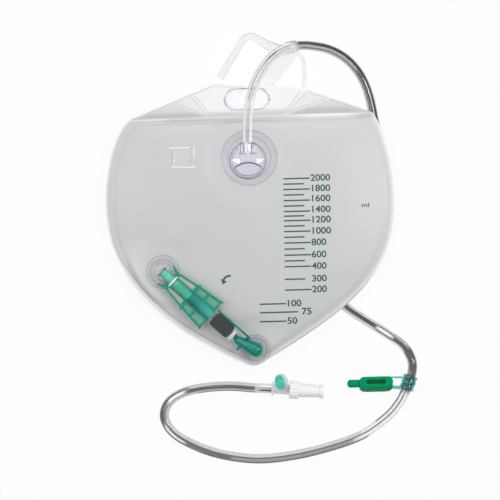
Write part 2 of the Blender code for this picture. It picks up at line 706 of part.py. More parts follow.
# Tube
def tube_route():
    """The tube's centre line, from the chamber's socket to the connector's flange."""
    socket_z = CHAMBER_LEVEL + FIT_GAP + FLANGE + FIT_GAP + SOCKET_AXIS
    clip_z = HANGER_TOP + TUBE_CLIP_WALL + TUBE_CLIP_R + 0.0004
    heights = (socket_z, socket_z, 0.0238, ROUTE_OVER_HEADER, 0.0215, 0.0210, clip_z, clip_z, clip_z)
    start = [(x, y, z) for (x, y), z in zip([ROUTE_START, *below_top(ROUTE_DROPS)], heights)]
    end = [CONNECTOR @ Vector((along, 0, 0)) for along in (-0.004, TUBE_STOP_PLACE - FIT_GAP)]
    return evenly(smooth([*start, *ROUTE_REST, *end]), TUBE_SPACING)


def segment_near(line, place):
    """The middle, heading and climb of the tube's straight stretch nearest a place."""
    def away(pair):
        middle = (pair[0] + pair[1]) / 2
        return (middle.xy - Vector(place)).length

    a, b = min(zip(line, line[1:]), key=away)
    run = b - a
    return (a + b) / 2, Vector((1, 0)).angle_signed(run.xy) * -1, run.z / run.xy.length


def make_tube(line):
    curve = bpy.data.curves.new("drainage_tube", "CURVE")
    curve.dimensions = "3D"
    curve.bevel_depth = TUBE_OD / 2
    curve.bevel_resolution = 3
    curve.use_fill_caps = True
    spline = curve.splines.new("POLY")
    spline.points.add(len(line) - 1)
    for point, place in zip(spline.points, line):
        point.co = (*place, 1.0)
    tube = bpy.data.objects.new("drainage_tube", curve)
    bpy.context.scene.collection.objects.link(tube)
    curve.materials.append(finish("clear tube", (0.75, 0.76, 0.77), 0.15, 0.5))


# Chamber
def make_chamber():
    """Flange on the film, clear chamber with its tube socket, and the flap inside."""
    x, y = CHAMBER_PLACE
    flange_z = CHAMBER_LEVEL + FIT_GAP
    disc = ((0, 0), (0, CHAMBER_FLANGE_R), (FLANGE * 0.6, CHAMBER_FLANGE_R),
            (FLANGE, CHAMBER_FLANGE_R - FLANGE), (FLANGE, 0))
    lavender = finish("lavender soft vinyl", (0.72, 0.70, 0.80), 0.3, 0.6)
    plate = turned("chamber_flange", disc, lavender, disc_at(*CHAMBER_FLANGE_PLACE, flange_z), 40)
    hole = turned("flange opening", ((-FLANGE, 0), (-FLANGE, CHAMBER_HOLE_R), (2 * FLANGE, CHAMBER_HOLE_R),
                                     (2 * FLANGE, 0)), placement=disc_at(*CHAMBER_HOLE_PLACE, flange_z))
    cut(plate, hole)

    base = flange_z + FLANGE + FIT_GAP
    shape = ((1.0, 0.0), (1.0, 0.48), (0.96, 0.68), (0.86, 0.84), (0.68, 0.94), (0.42, 0.99), (0.0, 1.0))
    outer = [(0, 0)] + [(CHAMBER_HEIGHT * up, CHAMBER_R * out) for out, up in shape]
    inner_r = CHAMBER_R - CHAMBER_WALL
    inner_h = CHAMBER_HEIGHT - CHAMBER_WALL
    inner = [(-CHAMBER_WALL, 0), (-CHAMBER_WALL, inner_r)]
    inner += [(inner_h * up, inner_r * out) for out, up in shape[1:]]
    clear = finish("clear rigid vinyl", (0.80, 0.79, 0.86), 0.1, 0.4)
    dome = turned("chamber_dome", outer, clear, disc_at(x, y, base), 36)
    hollow = turned("chamber hollow", inner, placement=disc_at(x, y, base), sides=36)
    mouth = y + CHAMBER_R
    socket_place = Matrix.Translation((x, mouth, base + SOCKET_AXIS)) @ Matrix.Rotation(-pi / 2, 4, "Z")
    depth = SOCKET_DEPTH
    half = SOCKET_WIDTH / 2
    socket_outline = rounded(x - half, x + half, mouth - depth, mouth, SOCKET_CORNER, 3)
    socket = soften(prism("socket", socket_outline, base, base + SOCKET_TOP), SOCKET_CORNER / 2, 2)
    bore_r = TUBE_OD / 2 + TUBE_CLEARANCE
    seat = SOCKET_SEAT + FIT_GAP
    bore = turned("socket bore", ((-depth, 0), (-depth, bore_r), (seat, bore_r), (seat, TUBE_BORE / 2),
                                  (2 * depth, TUBE_BORE / 2), (2 * depth, 0)), placement=socket_place)
    cut(dome, hollow)
    join(dome, socket)
    cut(dome, bore)

    edge_drop = FLAP_CREST + FLAP_EDGE_R
    corner_y = (FLAP_EDGE_R**2 - FLAP_R**2 - edge_drop**2) / (2 * edge_drop)
    lean = asin(-corner_y / FLAP_R)
    reach = acos((corner_y + edge_drop) / FLAP_EDGE_R)
    lower = arc((0, 0), FLAP_R, pi + lean, 2 * pi - lean, 14)
    upper = arc((0, -edge_drop), FLAP_EDGE_R, pi / 2 - reach, pi / 2 + reach, 8)
    outline = [(x + a, y + b) for a, b in lower + upper[1:-1]]
    film = finish("grey flap film", (0.70, 0.69, 0.76), 0.4, 0.7)
    prism("reflux_flap", outline, base, base + FLANGE, film)


# Vent
def make_vent(film):
    """Square patch with a raised frame, lying on the front film."""
    half = VENT_SIDE / 2
    steps = (-half, -half + VENT_FRAME, -half + 2 * VENT_FRAME, 0.0)
    steps = (*steps, *(-s for s in steps[-2::-1]))
    bm = bmesh.new()
    grids = []
    for layer in (0, 1):
        grid = []
        for b in steps:
            row = []
            for a in steps:
                x, y = VENT_PLACE[0] + a, VENT_PLACE[1] + b
                frame = VENT_THICK if max(abs(a), abs(b)) > half - 1.5 * VENT_FRAME else VENT_THICK / 2
                z = surface_at(film, x, y) + FIT_GAP + layer * frame
                row.append(bm.verts.new((x, y, z)))
            grid.append(row)
        grids.append(grid)
    last = len(steps) - 1
    for i in range(last):
        for j in range(last):
            for grid in grids:
                bm.faces.new((grid[i][j], grid[i][j + 1], grid[i + 1][j + 1], grid[i + 1][j]))
    low, high = grids
    rim = [(0, k) for k in range(last)] + [(k, last) for k in range(last)]
    rim += [(last, k) for k in range(last, 0, -1)] + [(k, 0) for k in range(last, 0, -1)]
    for (a, b), (c, d) in zip(rim, [*rim[1:], rim[0]]):
        bm.faces.new((low[a][b], low[c][d], high[c][d], high[a][b]))
    add("vent_patch", mesh_from(bm, "vent_patch"), finish("vent patch", (0.78, 0.78, 0.78), 0.45))


def surface_at(tree, x, y):
    """The height of a surface under a point."""
    hit = tree.ray_cast(Vector((x, y, 1.0)), Vector((0, 0, -1)))[0]
    return hit.z


# Outlet
def make_port_and_elbow():
    """Flange at the bag's tip, and the drop-shaped elbow with the lever's pins."""
    port = outlet_point(*PORT_PLACE)
    rib = 0.0012
    flange = (
        (0, PORT_HOLE_R), (0, PORT_FLANGE_R), (PORT_FLANGE * 0.5, PORT_FLANGE_R),
        (PORT_FLANGE, PORT_FLANGE_R - PORT_FLANGE / 2), (PORT_FLANGE, PORT_RIB_R + rib),
        (PORT_FLANGE + rib / 2, PORT_RIB_R + rib / 2), (PORT_FLANGE + rib / 2, PORT_RIB_R - rib / 2),
        (PORT_FLANGE, PORT_RIB_R - rib), (PORT_FLANGE, PORT_HOLE_R),
    )
    clear = finish("clear port vinyl", (0.80, 0.80, 0.81), 0.2, 0.5)
    turned("port_flange", flange, clear, disc_at(port.x, port.y, PORT_BASE), 32)

    teal = finish("teal elbow", (0.0, 0.24, 0.20), 0.15)
    neck = outlet_point(*ELBOW_NECK)
    run = port - neck
    reach = run.length
    turn = Vector((1, 0)).angle_signed(run.xy) * -1
    placement = Matrix.Translation(neck) @ Matrix.Rotation(turn, 4, "Z")
    slope = (ELBOW_BODY_R - ELBOW_NECK_R) / reach
    lean = pi / 2 + slope
    drop = [(0.0 - ELBOW_NECK_R * cos(a), ELBOW_NECK_R * sin(a)) for a in steps_to(0.0, pi - lean, 4)]
    drop += [(reach - ELBOW_BODY_R * cos(a), ELBOW_BODY_R * sin(a)) for a in steps_to(pi - lean, pi, 8)]
    drop[0] = (-ELBOW_NECK_R, 0)
    drop[-1] = (reach + ELBOW_BODY_R, 0)
    elbow = turned("outlet_elbow", drop, teal, placement, 24)
    stem_place = disc_at(port.x, port.y, PORT_BASE)
    stem_r = ELBOW_STEM_R
    stem_top = port.z - PORT_BASE
    stem = turned("elbow stem", ((0, 0), (0, stem_r), (stem_top, stem_r), (stem_top, 0)),
                  placement=stem_place)
    pin_place = OUTLET @ Matrix.Translation((PIVOT_PLACE, 0, 0)) @ ALONG_Y
    pins = turned("lever pins", ((-PIN_REACH, 0), (-PIN_REACH, PIN_R), (PIN_REACH, PIN_R), (PIN_REACH, 0)),
                  placement=pin_place, sides=16)
    spigot_from = STOP_PLACE
    spigot = turned("spigot", ((spigot_from, 0), (spigot_from, SPIGOT_R), (PIVOT_PLACE, SPIGOT_R),
                               (PIVOT_PLACE, 0)), placement=OUTLET, sides=16)
    bore_r = SPIGOT_R * 0.6
    well_r = stem_r * 0.75
    well_top = stem_top + SPIGOT_R * 0.7
    flow_up = turned("flow up", ((-0.001, 0), (-0.001, well_r), (well_top, well_r), (well_top, 0)),
                     placement=stem_place, sides=16)
    flow_from = spigot_from - 0.001
    flow_out = turned("flow out", ((flow_from, 0), (flow_from, bore_r), (PORT_PLACE[0], bore_r),
                                   (PORT_PLACE[0], 0)), placement=OUTLET, sides=12)
    join(elbow, stem, pins, spigot)
    cut(elbow, flow_up, flow_out)


def steps_to(start, end, count):
    return [start + (end - start) * i / count for i in range(count + 1)]


def make_drain_tube():
    soft = finish("soft drain tube", (0.72, 0.74, 0.75), 0.2, 0.5)
    profile = ((DRAIN_START, DRAIN_BORE_R), (DRAIN_START, DRAIN_TUBE_R), (DRAIN_END, DRAIN_TUBE_R),
               (DRAIN_END, DRAIN_BORE_R))
    stop_bore = DRAIN_TUBE_R + FIT_GAP
    edge = 0.0005
    stop_end = STOP_PLACE + STOP_LENGTH
    turned("drain_tube", profile, soft, OUTLET, 20)
    stop = ((STOP_PLACE, stop_bore), (STOP_PLACE, STOP_R - edge), (STOP_PLACE + edge, STOP_R),
            (stop_end - edge, STOP_R), (stop_end, STOP_R - edge), (stop_end, stop_bore))
    turned("tube_stop", stop, finish("white stop", (0.88, 0.88, 0.88), 0.3), OUTLET, 28)


def make_lever():
    """Side arm with its eye on the elbow's pin, the carrier under the thumb pad, and the pad.

    The outlet slides under the lifted carrier, which so clears the guard's sleeve.
    """
    green = finish("green lever", (0.0, 0.32, 0.22), 0.25)
    pivot = OUTLET @ Matrix.Translation((PIVOT_PLACE, 0, 0))
    side = pivot @ Matrix.Rotation(pi / 2, 4, "X")
    start = ARM_START - PIVOT_PLACE
    knee = ARM_KNEE - PIVOT_PLACE
    chamfer = EYE_R / 3
    carrier_low = GUARD_SLEEVE_R + FIT_GAP
    carrier_top = carrier_low + CARRIER
    pad_low = carrier_top + FIT_GAP
    arm_high = pad_low + PAD_THICK
    arm_low = arm_high - ARM_DEPTH
    arm_outline = (
        (start, arm_low), (knee, arm_low), (-EYE_R, -EYE_R * 0.4), (EYE_R * 0.6, EYE_R * 0.5),
        (knee + EYE_R * 0.7, arm_high), (start + chamfer, arm_high), (start, arm_high - chamfer),
    )
    lever = prism("clamp_lever", arm_outline, -ARM_OUTER, -ARM_INNER, green, side)
    eye = turned("eye", eye_profile(ARM_INNER, ARM_OUTER - FIT_GAP), placement=pivot @ ALONG_Y, sides=20)
    low, high = PAD_FROM - PIVOT_PLACE, PAD_TO - PIVOT_PLACE
    carrier_outline = rounded(low + CARRIER_MARGIN, high - CARRIER_MARGIN, PAD_LEFT + CARRIER_MARGIN,
                              (ARM_INNER + ARM_OUTER) / 2, CARRIER_MARGIN, 2)
    carrier = prism("pad carrier", carrier_outline, carrier_low, carrier_top, placement=pivot)
    bore_r = PIN_R + EYE_CLEARANCE
    wide = 2 * ARM_OUTER
    bore = turned("eye bore", ((0, 0), (0, bore_r), (wide, bore_r), (wide, 0)),
                  placement=pivot @ ALONG_Y, sides=16)
    join(lever, eye, carrier)
    cut(lever, bore)

    pad_outline = rounded(low, high, PAD_LEFT, ARM_INNER - FIT_GAP, PAD_CORNER, 4)
    pad = prism("lever_pad", pad_outline, pad_low, pad_low + PAD_THICK,
                finish("dark grey pad", (0.045, 0.05, 0.053), 0.55), pivot)
    soften(pad, 0.0005, 2)


def eye_profile(low, high):
    return ((low, 0), (low, EYE_R), (high, EYE_R), (high, 0))


def make_dock():
    """Clear socket that stores the nozzle, on a flange with a raised ring."""
    clear = finish("clear dock vinyl", (0.82, 0.81, 0.86), 0.15, 0.45)
    centre = outlet_point(*DOCK_PLACE)
    rib = DOCK_RIB / 2
    disc = (
        (0, 0), (0, DOCK_FLANGE_R), (DOCK_FLANGE * 0.5, DOCK_FLANGE_R), (DOCK_FLANGE, DOCK_FLANGE_R - 0.0006),
        (DOCK_FLANGE, DOCK_RIB_R + rib), (DOCK_FLANGE + DOCK_RIB, DOCK_RIB_R + rib / 2),
        (DOCK_FLANGE + DOCK_RIB, DOCK_RIB_R - rib / 2), (DOCK_FLANGE, DOCK_RIB_R - rib), (DOCK_FLANGE, 0),
    )
    dock = turned("outlet_dock", disc, clear, disc_at(centre.x, centre.y, DOCK_BASE), 36)
    r = DOCK_SLEEVE_R
    back = -(r - DOCK_BORE_R) - 0.0010
    round_end = [(back + r * 0.7 * (1 - cos(a)), r * sin(a)) for a in steps_to(0.0, pi / 2, 5)]
    round_end[0] = (back, 0)
    sleeve = turned("sleeve", [*round_end, (DOCK_MOUTH, r), (DOCK_MOUTH, 0)], placement=OUTLET, sides=28)
    bore_end = 2 * DOCK_MOUTH
    bore = turned("dock bore", ((0, 0), (0, NOZZLE_BORE_R), (0.0012, DOCK_BORE_R), (bore_end, DOCK_BORE_R),
                                (bore_end, 0)), placement=OUTLET, sides=28)
    saddle_outline = rounded(back + 0.002, DOCK_MOUTH - 0.001, -r * 0.6, r * 0.6, 0.001, 2)
    saddle = prism("saddle", saddle_outline, -OUTLET_RISE - DOCK_FLANGE / 2, -DOCK_BORE_R, placement=OUTLET)
    join(dock, sleeve, saddle)
    cut(dock, bore)


def make_nozzle():
    """Light green nozzle in the dock, and its white seal."""
    tip = 0.0016
    grip = DOCK_MOUTH + FIT_GAP + SEAL_LENGTH + 2 * FIT_GAP
    end = GUARD_SLEEVE_START + NOZZLE_IN_GUARD
    profile = (
        (tip, NOZZLE_BORE_R), (tip, NOZZLE_R - 0.0008), (tip + 0.0008, NOZZLE_R), (grip, NOZZLE_R),
        (grip, NOZZLE_GRIP_R), (GUARD_SLEEVE_START - FIT_GAP, NOZZLE_GRIP_R),
        (GUARD_SLEEVE_START - FIT_GAP, NOZZLE_R), (end, NOZZLE_R), (end, NOZZLE_BORE_R),
    )
    turned("outlet_nozzle", profile, finish("light green nozzle", (0.10, 0.55, 0.40), 0.2, 0.7), OUTLET, 24)
    low = DOCK_MOUTH + FIT_GAP
    high = low + SEAL_LENGTH
    edge = 0.0004
    bore = NOZZLE_R + FIT_GAP
    ring = ((low, bore), (low, SEAL_R - edge), (low + edge, SEAL_R), (high - edge, SEAL_R),
            (high, SEAL_R - edge), (high, bore))
    turned("nozzle_seal", ring, finish("white seal", (0.90, 0.90, 0.90), 0.3), OUTLET, 28)


def make_guard():
    """Winged housing: two ladder frames with thin webs on a central sleeve."""
    slot_end = GUARD_SLEEVE_START + GUARD_WEB
    slot = [
        (GUARD_SLOT_START, GUARD_SLOT_HALF), (slot_end, GUARD_SLOT_HALF), (slot_end, -GUARD_SLOT_HALF),
        (GUARD_SLOT_START, -GUARD_SLOT_HALF),
    ]
    outline = [*slot, *((t, -n) for t, n in GUARD_EDGE), *GUARD_EDGE[::-1]]
    green = finish("green guard", (0.01, 0.36, 0.25), 0.25, 0.85)
    thick = GUARD_THICK / 2
    web = GUARD_WEB / 2
    guard = prism("outlet_guard", outline, -thick, thick, green, OUTLET)
    for number, window in enumerate(GUARD_WINDOWS):
        for side in (1, -1):
            pane = [(t, n * side) for t, n in window]
            for face in (1, -1):
                low, high = sorted((web * face, thick * 2 * face))
                cut(guard, prism(f"window {number} {side} {face}", pane, low, high, placement=OUTLET))
    start, end = GUARD_SLEEVE_START, GUARD_SLEEVE_END
    r = GUARD_SLEEVE_R
    outer = ((start, 0), (start, r - 0.0006), (start + 0.009, r), (end - 0.008, r - 0.0003),
             (end, r - 0.0006), (end, 0))
    sleeve = turned("guard sleeve", outer, placement=OUTLET, sides=28)
    seat_r = NOZZLE_R + FIT_GAP
    nozzle_end = start + NOZZLE_IN_GUARD + FIT_GAP
    tube_r = DRAIN_TUBE_R + FIT_GAP
    tube_from = DRAIN_START - FIT_GAP
    bore = turned(
        "guard bore",
        ((start - 0.001, 0), (start - 0.001, seat_r), (nozzle_end, seat_r), (nozzle_end, NOZZLE_BORE_R),
         (tube_from, NOZZLE_BORE_R), (tube_from, tube_r), (end + 0.001, tube_r), (end + 0.001, 0)),
        placement=OUTLET, sides=24,
    )
    seal_r = SEAL_R + FIT_GAP
    seal_end = DOCK_MOUTH + SEAL_LENGTH + 3 * FIT_GAP
    seal_room = turned("seal room", ((0, 0), (0, seal_r), (seal_end, seal_r), (seal_end, 0)),
                       placement=OUTLET, sides=32)
    join(guard, sleeve)
    cut(guard, bore, seal_room)


# Connector
def make_connector():
    """Clear connector with the tube's stop flange and the angled sample port."""
    clear = finish("clear connector", (0.74, 0.74, 0.74), 0.12, 0.5)
    stop = TUBE_STOP_PLACE
    flange_end = stop + CONNECTOR_FLANGE
    profile = (
        (stop, 0), (stop, CONNECTOR_FLANGE_R), (flange_end, CONNECTOR_FLANGE_R),
        (flange_end, CONNECTOR_R), (CONNECTOR_END + FIT_GAP, CONNECTOR_R), (CONNECTOR_END + FIT_GAP, 0),
    )
    body = turned("connector_body", profile, clear, CONNECTOR, 24)
    port = sample_port_placement()
    drum_profile = ((-PORT_DEPTH, 0), (-PORT_DEPTH, PORT_R - 0.0015), (-PORT_DEPTH + 0.0015, PORT_R),
                    (-0.0005, PORT_R), (0, PORT_R - 0.0005), (0, 0))
    drum = turned("port drum", drum_profile, placement=port, sides=28)
    recess_r = SEPTUM_R + FIT_GAP
    recess = turned("port recess", ((-SEPTUM_SEAT, 0), (-SEPTUM_SEAT, recess_r), (PORT_DEPTH, recess_r),
                                    (PORT_DEPTH, 0)), placement=port, sides=28)
    flow = turned("connector flow", ((0, 0), (0, CONNECTOR_BORE_R), (2 * CONNECTOR_END, CONNECTOR_BORE_R),
                                     (2 * CONNECTOR_END, 0)), placement=CONNECTOR, sides=24)
    room_r = CAP_GRIP_R + FIT_GAP
    room = turned("adapter room", ((CONNECTOR_END, 0), (CONNECTOR_END, room_r), (CAP_LIP_END, room_r),
                                   (CAP_LIP_END, 0)), placement=CONNECTOR, sides=32)
    join(body, drum)
    cut(body, recess, flow, room)

    low = -SEPTUM_SEAT + FIT_GAP
    high = SEPTUM_PROUD
    groove = 0.0006
    septum = (
        (low, 0), (low, SEPTUM_R), (high - 0.0006, SEPTUM_R), (high, SEPTUM_R - 0.0006),
        (high, SEPTUM_R * 0.72), (high - groove, SEPTUM_R * 0.66), (high - groove, SEPTUM_R * 0.58),
        (high + groove, SEPTUM_R * 0.5), (high + groove, 0),
    )
    rubber = finish("green septum", (0.02, 0.60, 0.45), 0.3)
    turned("sample_port_septum", septum, rubber, port, 28)


def sample_port_placement():
    return (
        CONNECTOR @ Matrix.Translation(PORT_FACE) @ Matrix.Rotation(PORT_TURN, 4, "Z")
        @ Matrix.Rotation(-PORT_ELEVATION, 4, "Y")
    )


def make_adapter_and_cap():
    """Stepped taper for the catheter, under a frosted cap with a fluted grip."""
    start = CONNECTOR_END + FIT_GAP
    collar_end = start + ADAPTER_COLLAR
    bore = ADAPTER_BORE_R
    run = ADAPTER_END - collar_end
    profile = [(start, bore), (start, ADAPTER_COLLAR_R), (collar_end, ADAPTER_COLLAR_R)]
    barbs = 3
    for barb in range(barbs):
        root = ADAPTER_ROOT_R + (ADAPTER_TIP_R - ADAPTER_ROOT_R) * barb / barbs
        next_root = ADAPTER_ROOT_R + (ADAPTER_TIP_R - ADAPTER_ROOT_R) * (barb + 1) / barbs
        profile.append((collar_end + run * barb / barbs, root))
        profile.append((collar_end + run * (barb + 0.9) / barbs, next_root + 0.0001))
    profile += [(ADAPTER_END, ADAPTER_TIP_R - 0.0003), (ADAPTER_END, bore)]
    turned("catheter_adapter", profile, finish("clear adapter", (0.78, 0.78, 0.78), 0.2, 0.6), CONNECTOR, 20)

    mouth_r = ADAPTER_COLLAR_R + FIT_GAP
    seat = ADAPTER_END + 0.002
    lip_inner = CAP_LIP_R - 0.0011
    flute = CAP_FLUTE
    cap = (
        (seat, 0), (seat, ADAPTER_TIP_R + 0.0008), (CAP_START + 0.0045, ADAPTER_ROOT_R + 0.0007),
        (CAP_START + 0.0025, mouth_r), (CAP_START, mouth_r), (CAP_START, CAP_GRIP_R - 0.0006),
        (CAP_START + 0.0006, CAP_GRIP_R, flute), (CAP_GRIP_END - 0.0006, CAP_GRIP_R, flute),
        (CAP_GRIP_END, CAP_GRIP_R - 0.0006), (CAP_GRIP_END + 0.0002, CAP_R), (CAP_TIP, CAP_TIP_R),
        (CAP_TIP, CAP_LIP_R), (CAP_LIP_END, CAP_LIP_R), (CAP_LIP_END, lip_inner),
        (CAP_TIP + CAP_WALL, lip_inner - 0.0003), (CAP_TIP + CAP_WALL, 0),
    )
    frosted = finish("frosted cap", (0.86, 0.87, 0.88), 0.45, 0.8)
    turned("adapter_cap", cap, frosted, CONNECTOR, flutes=CAP_FLUTES)


# Sheet clip
def make_sheet_clip(tube_line):
    """Ribbed loop with a tongue, two short arms and a collar round the tube."""
    green = finish("sheet clip green", (0.0, 0.33, 0.16), 0.3)
    half = LOOP_WIDTH / 2
    outline = stadium((0, 0), LOOP_LENGTH, LOOP_WIDTH, 8)
    ribs = []
    pitch = LOOP_RIB_SPAN / LOOP_RIBS
    for rib in range(LOOP_RIBS):
        left = -LOOP_RIB_SPAN / 2 + pitch * rib
        ribs += [(left + pitch * 0.1, -half), (left + pitch * 0.3, -half - LOOP_RIB),
                 (left + pitch * 0.7, -half - LOOP_RIB), (left + pitch * 0.9, -half)]
    outline = outline + ribs
    loop = prism("sheet_clip", outline, LOOP_LOW, LOOP_HIGH)
    lean_mesh(loop)
    loop.matrix_world = Matrix.Translation((*LOOP_CENTRE, 0))
    loop.hide_render = False
    loop.display_type = "TEXTURED"
    loop.data.materials.append(green)
    hole_outline = stadium((0, 0), LOOP_LENGTH - 2 * LOOP_WALL - 0.004, LOOP_WIDTH - 2 * LOOP_WALL, 8)
    hole = prism("loop hole", hole_outline, LOOP_LOW - 0.002, LOOP_HIGH + 0.002)
    lean_mesh(hole)
    hole.matrix_world = Matrix.Translation((*LOOP_CENTRE, 0))

    middle = (LOOP_LOW + LOOP_HIGH) / 2
    loop_left = LOOP_CENTRE[0] - LOOP_LENGTH / 2
    tongue_run = loop_left - TONGUE_START + LOOP_WALL
    r = TONGUE_R
    tip = [(r * 0.8 * (1 - cos(a)), r * sin(a)) for a in steps_to(0.0, pi / 2, 4)]
    tip[0] = (0.0, 0)
    tongue_profile = [*tip, (tongue_run * 0.7, r), (tongue_run, r * 0.8), (tongue_run, 0)]
    tongue = turned("tongue", tongue_profile, sides=16,
                    placement=Matrix.Translation((TONGUE_START, LOOP_CENTRE[1] + 0.001, middle)))

    at, turn, tilt = segment_near(tube_line, CLIP_NEAR)
    collar_place = Matrix.Translation(at) @ Matrix.Rotation(turn, 4, "Z") @ Matrix.Rotation(-tilt, 4, "Y")
    reach = COLLAR_LENGTH / 2
    edge = 0.0006
    collar = turned("collar", ((-reach, 0), (-reach, COLLAR_R - edge), (-reach + edge, COLLAR_R),
                               (reach - edge, COLLAR_R), (reach, COLLAR_R - edge), (reach, 0)),
                    placement=collar_place, sides=28)
    bore_r = TUBE_OD / 2 + TUBE_CLEARANCE
    bore = turned("collar bore", ((-2 * reach, 0), (-2 * reach, bore_r), (2 * reach, bore_r), (2 * reach, 0)),
                  placement=collar_place, sides=24)
    loop_right = LOOP_CENTRE[0] + LOOP_LENGTH / 2
    low, high = ARM_BAND
    upper_line = ((loop_right - 0.004, LOOP_CENTRE[1] + 0.0065), (at.x - 0.004, at.y + 0.0055))
    lower_line = ((loop_right - 0.004, LOOP_CENTRE[1] - 0.0030), (at.x - 0.006, at.y - 0.0050))
    upper_arm = prism("upper arm", strap(upper_line, ARM_WIDTH), low, high)
    lower_arm = prism("lower arm", strap(lower_line, ARM_WIDTH), low + 0.0004, high - 0.0004)
    join(loop, tongue, collar, upper_arm, lower_arm)
    cut(loop, hole, bore)


def lean_mesh(obj):
    """Lean a standing piece towards +Y about its mid height."""
    middle = (LOOP_LOW + LOOP_HIGH) / 2
    for vertex in obj.data.vertices:
        vertex.co.y += (vertex.co.z - middle) * tan(LOOP_LEAN)


def main():
    for obj in list(bpy.data.objects):
        bpy.data.objects.remove(obj)
    front = make_films()
    bpy.context.view_layer.update()
    film = BVHTree.FromObject(front, bpy.context.evaluated_depsgraph_get())
    line = tube_route()
    make_stiffener()
    make_hanger(line)
    make_tube(line)
    make_chamber()
    make_vent(film)
    make_port_and_elbow()
    make_drain_tube()
    make_lever()
    make_dock()
    make_nozzle()
    make_guard()
    make_connector()
    make_adapter_and_cap()
    make_sheet_clip(line)


main()
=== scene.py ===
"""Looks of a two litre urine drainage bag that lies on its back.

Metres; +X to the bag's right, +Y towards its hanger, +Z out of its printed front.
"""

from math import cos, exp, pi, radians, sin, tan

import bmesh
import bpy
from mathutils import Matrix, Vector, noise
from mathutils.bvhtree import BVHTree


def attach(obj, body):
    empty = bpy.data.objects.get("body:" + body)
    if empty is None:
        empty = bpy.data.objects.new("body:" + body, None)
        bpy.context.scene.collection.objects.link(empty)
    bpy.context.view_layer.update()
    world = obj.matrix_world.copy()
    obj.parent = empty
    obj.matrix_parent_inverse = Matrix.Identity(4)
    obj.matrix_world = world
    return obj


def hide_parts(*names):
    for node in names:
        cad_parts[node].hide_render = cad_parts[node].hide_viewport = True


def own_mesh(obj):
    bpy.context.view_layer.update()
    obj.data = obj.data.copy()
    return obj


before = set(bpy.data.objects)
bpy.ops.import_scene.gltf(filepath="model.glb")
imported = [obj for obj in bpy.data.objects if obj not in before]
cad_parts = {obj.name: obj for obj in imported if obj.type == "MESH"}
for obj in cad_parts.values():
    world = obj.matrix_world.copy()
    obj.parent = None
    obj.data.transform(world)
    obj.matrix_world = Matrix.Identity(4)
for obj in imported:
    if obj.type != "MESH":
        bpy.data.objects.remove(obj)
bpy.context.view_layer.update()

# Camera
# A long lens straight above the bag and turned a little against it. One pixel of the
# 500 pixel square is one millimetre on the bag's front.
PHOTO_TURN = radians(-1.5)
PHOTO_CENTRE = (-0.0013, -0.0510)
PHOTO_WIDTH = 0.500
CAMERA_HEIGHT = 3.0
FOCUS_HEIGHT = 0.014
SENSOR = 36.0

camera = bpy.data.objects.new("camera", bpy.data.cameras.new("camera"))
bpy.context.scene.collection.objects.link(camera)
camera.location = (*PHOTO_CENTRE, CAMERA_HEIGHT)
camera.rotation_euler = (0, 0, PHOTO_TURN)
camera.data.sensor_width = SENSOR
camera.data.lens = SENSOR * (CAMERA_HEIGHT - FOCUS_HEIGHT) / PHOTO_WIDTH
camera.data.clip_end = 20.0
bpy.context.scene.camera = camera
bpy.context.scene.view_settings.view_transform = "Standard"

# Floor and light
# A white studio table under two long soft boxes and a pale dome that is darker towards
# the horizon, so that clear tube and rims get grey edges against the white.
FLOOR_WHITE = "#F4F4F4"
FLOOR_GLOW = 0.92
DOME_TOP = "#F7F8F9"
DOME_RIM = "#5C6064"
DOME_STRENGTH = 0.60
BOX_LIGHTS = (
    ("left_box", (-0.95, 0.10, 1.15), 0.22, 1.50, 4.8),
    ("right_box", (1.00, 0.05, 1.20), 0.22, 1.50, 8.2),
    ("top_box", (0.05, 1.05, 1.35), 1.40, 0.35, 5.6),
)


def light(share):
    """An sRGB share of 0 to 1 as linear light."""
    return share / 12.92 if share <= 0.04045 else ((share + 0.055) / 1.055) ** 2.4


def linear(colour):
    """An sRGB hex colour as linear RGBA."""
    return [light(int(colour[i:i + 2], 16) / 255) for i in (1, 3, 5)] + [1.0]


def add_node(tree, kind, inputs=None, **settings):
    """Add a node with its settings. An input is a value, or another node's output to link."""
    node = tree.nodes.new(kind)
    for name, value in settings.items():
        setattr(node, name, value)
    for name, value in (inputs or {}).items():
        if isinstance(value, bpy.types.NodeSocket):
            tree.links.new(value, node.inputs[name])
        else:
            node.inputs[name].default_value = value
    return node


def start_material(name):
    """An empty node material."""
    made = bpy.data.materials.new(name)
    made.use_nodes = True
    made.node_tree.nodes.clear()
    return made, made.node_tree


def studio_share(tree):
    """1 for the rays that look at the background, straight, mirrored or through glass."""
    path = add_node(tree, "ShaderNodeLightPath")
    seen = add_node(tree, "ShaderNodeMath", {
        0: path.outputs["Is Camera Ray"], 1: path.outputs["Is Glossy Ray"]}, operation="MAXIMUM")
    return add_node(tree, "ShaderNodeMath", {0: seen.outputs[0], 1: path.outputs["Is Transmission Ray"]},
                    operation="MAXIMUM").outputs[0]


floor_paint, tree = start_material("white table")
board = add_node(tree, "ShaderNodeBsdfPrincipled", {"Base Color": linear(FLOOR_WHITE), "Roughness": 0.7})
glow = add_node(tree, "ShaderNodeEmission", {"Color": (1, 1, 1, 1), "Strength": 1.0})
share = add_node(tree, "ShaderNodeMath", {0: studio_share(tree), 1: FLOOR_GLOW}, operation="MULTIPLY")
both = add_node(tree, "ShaderNodeMixShader", {0: share.outputs[0], 1: board.outputs[0], 2: glow.outputs[0]})
add_node(tree, "ShaderNodeOutputMaterial", {"Surface": both.outputs[0]})

bm = bmesh.new()
bmesh.ops.create_circle(bm, cap_ends=True, segments=64, radius=4.0)
floor_mesh = bpy.data.meshes.new("floor")
bm.to_mesh(floor_mesh)
bm.free()
floor = bpy.data.objects.new("floor", floor_mesh)
floor.location.z = -0.0004
floor_mesh.materials.append(floor_paint)
bpy.context.scene.collection.objects.link(floor)

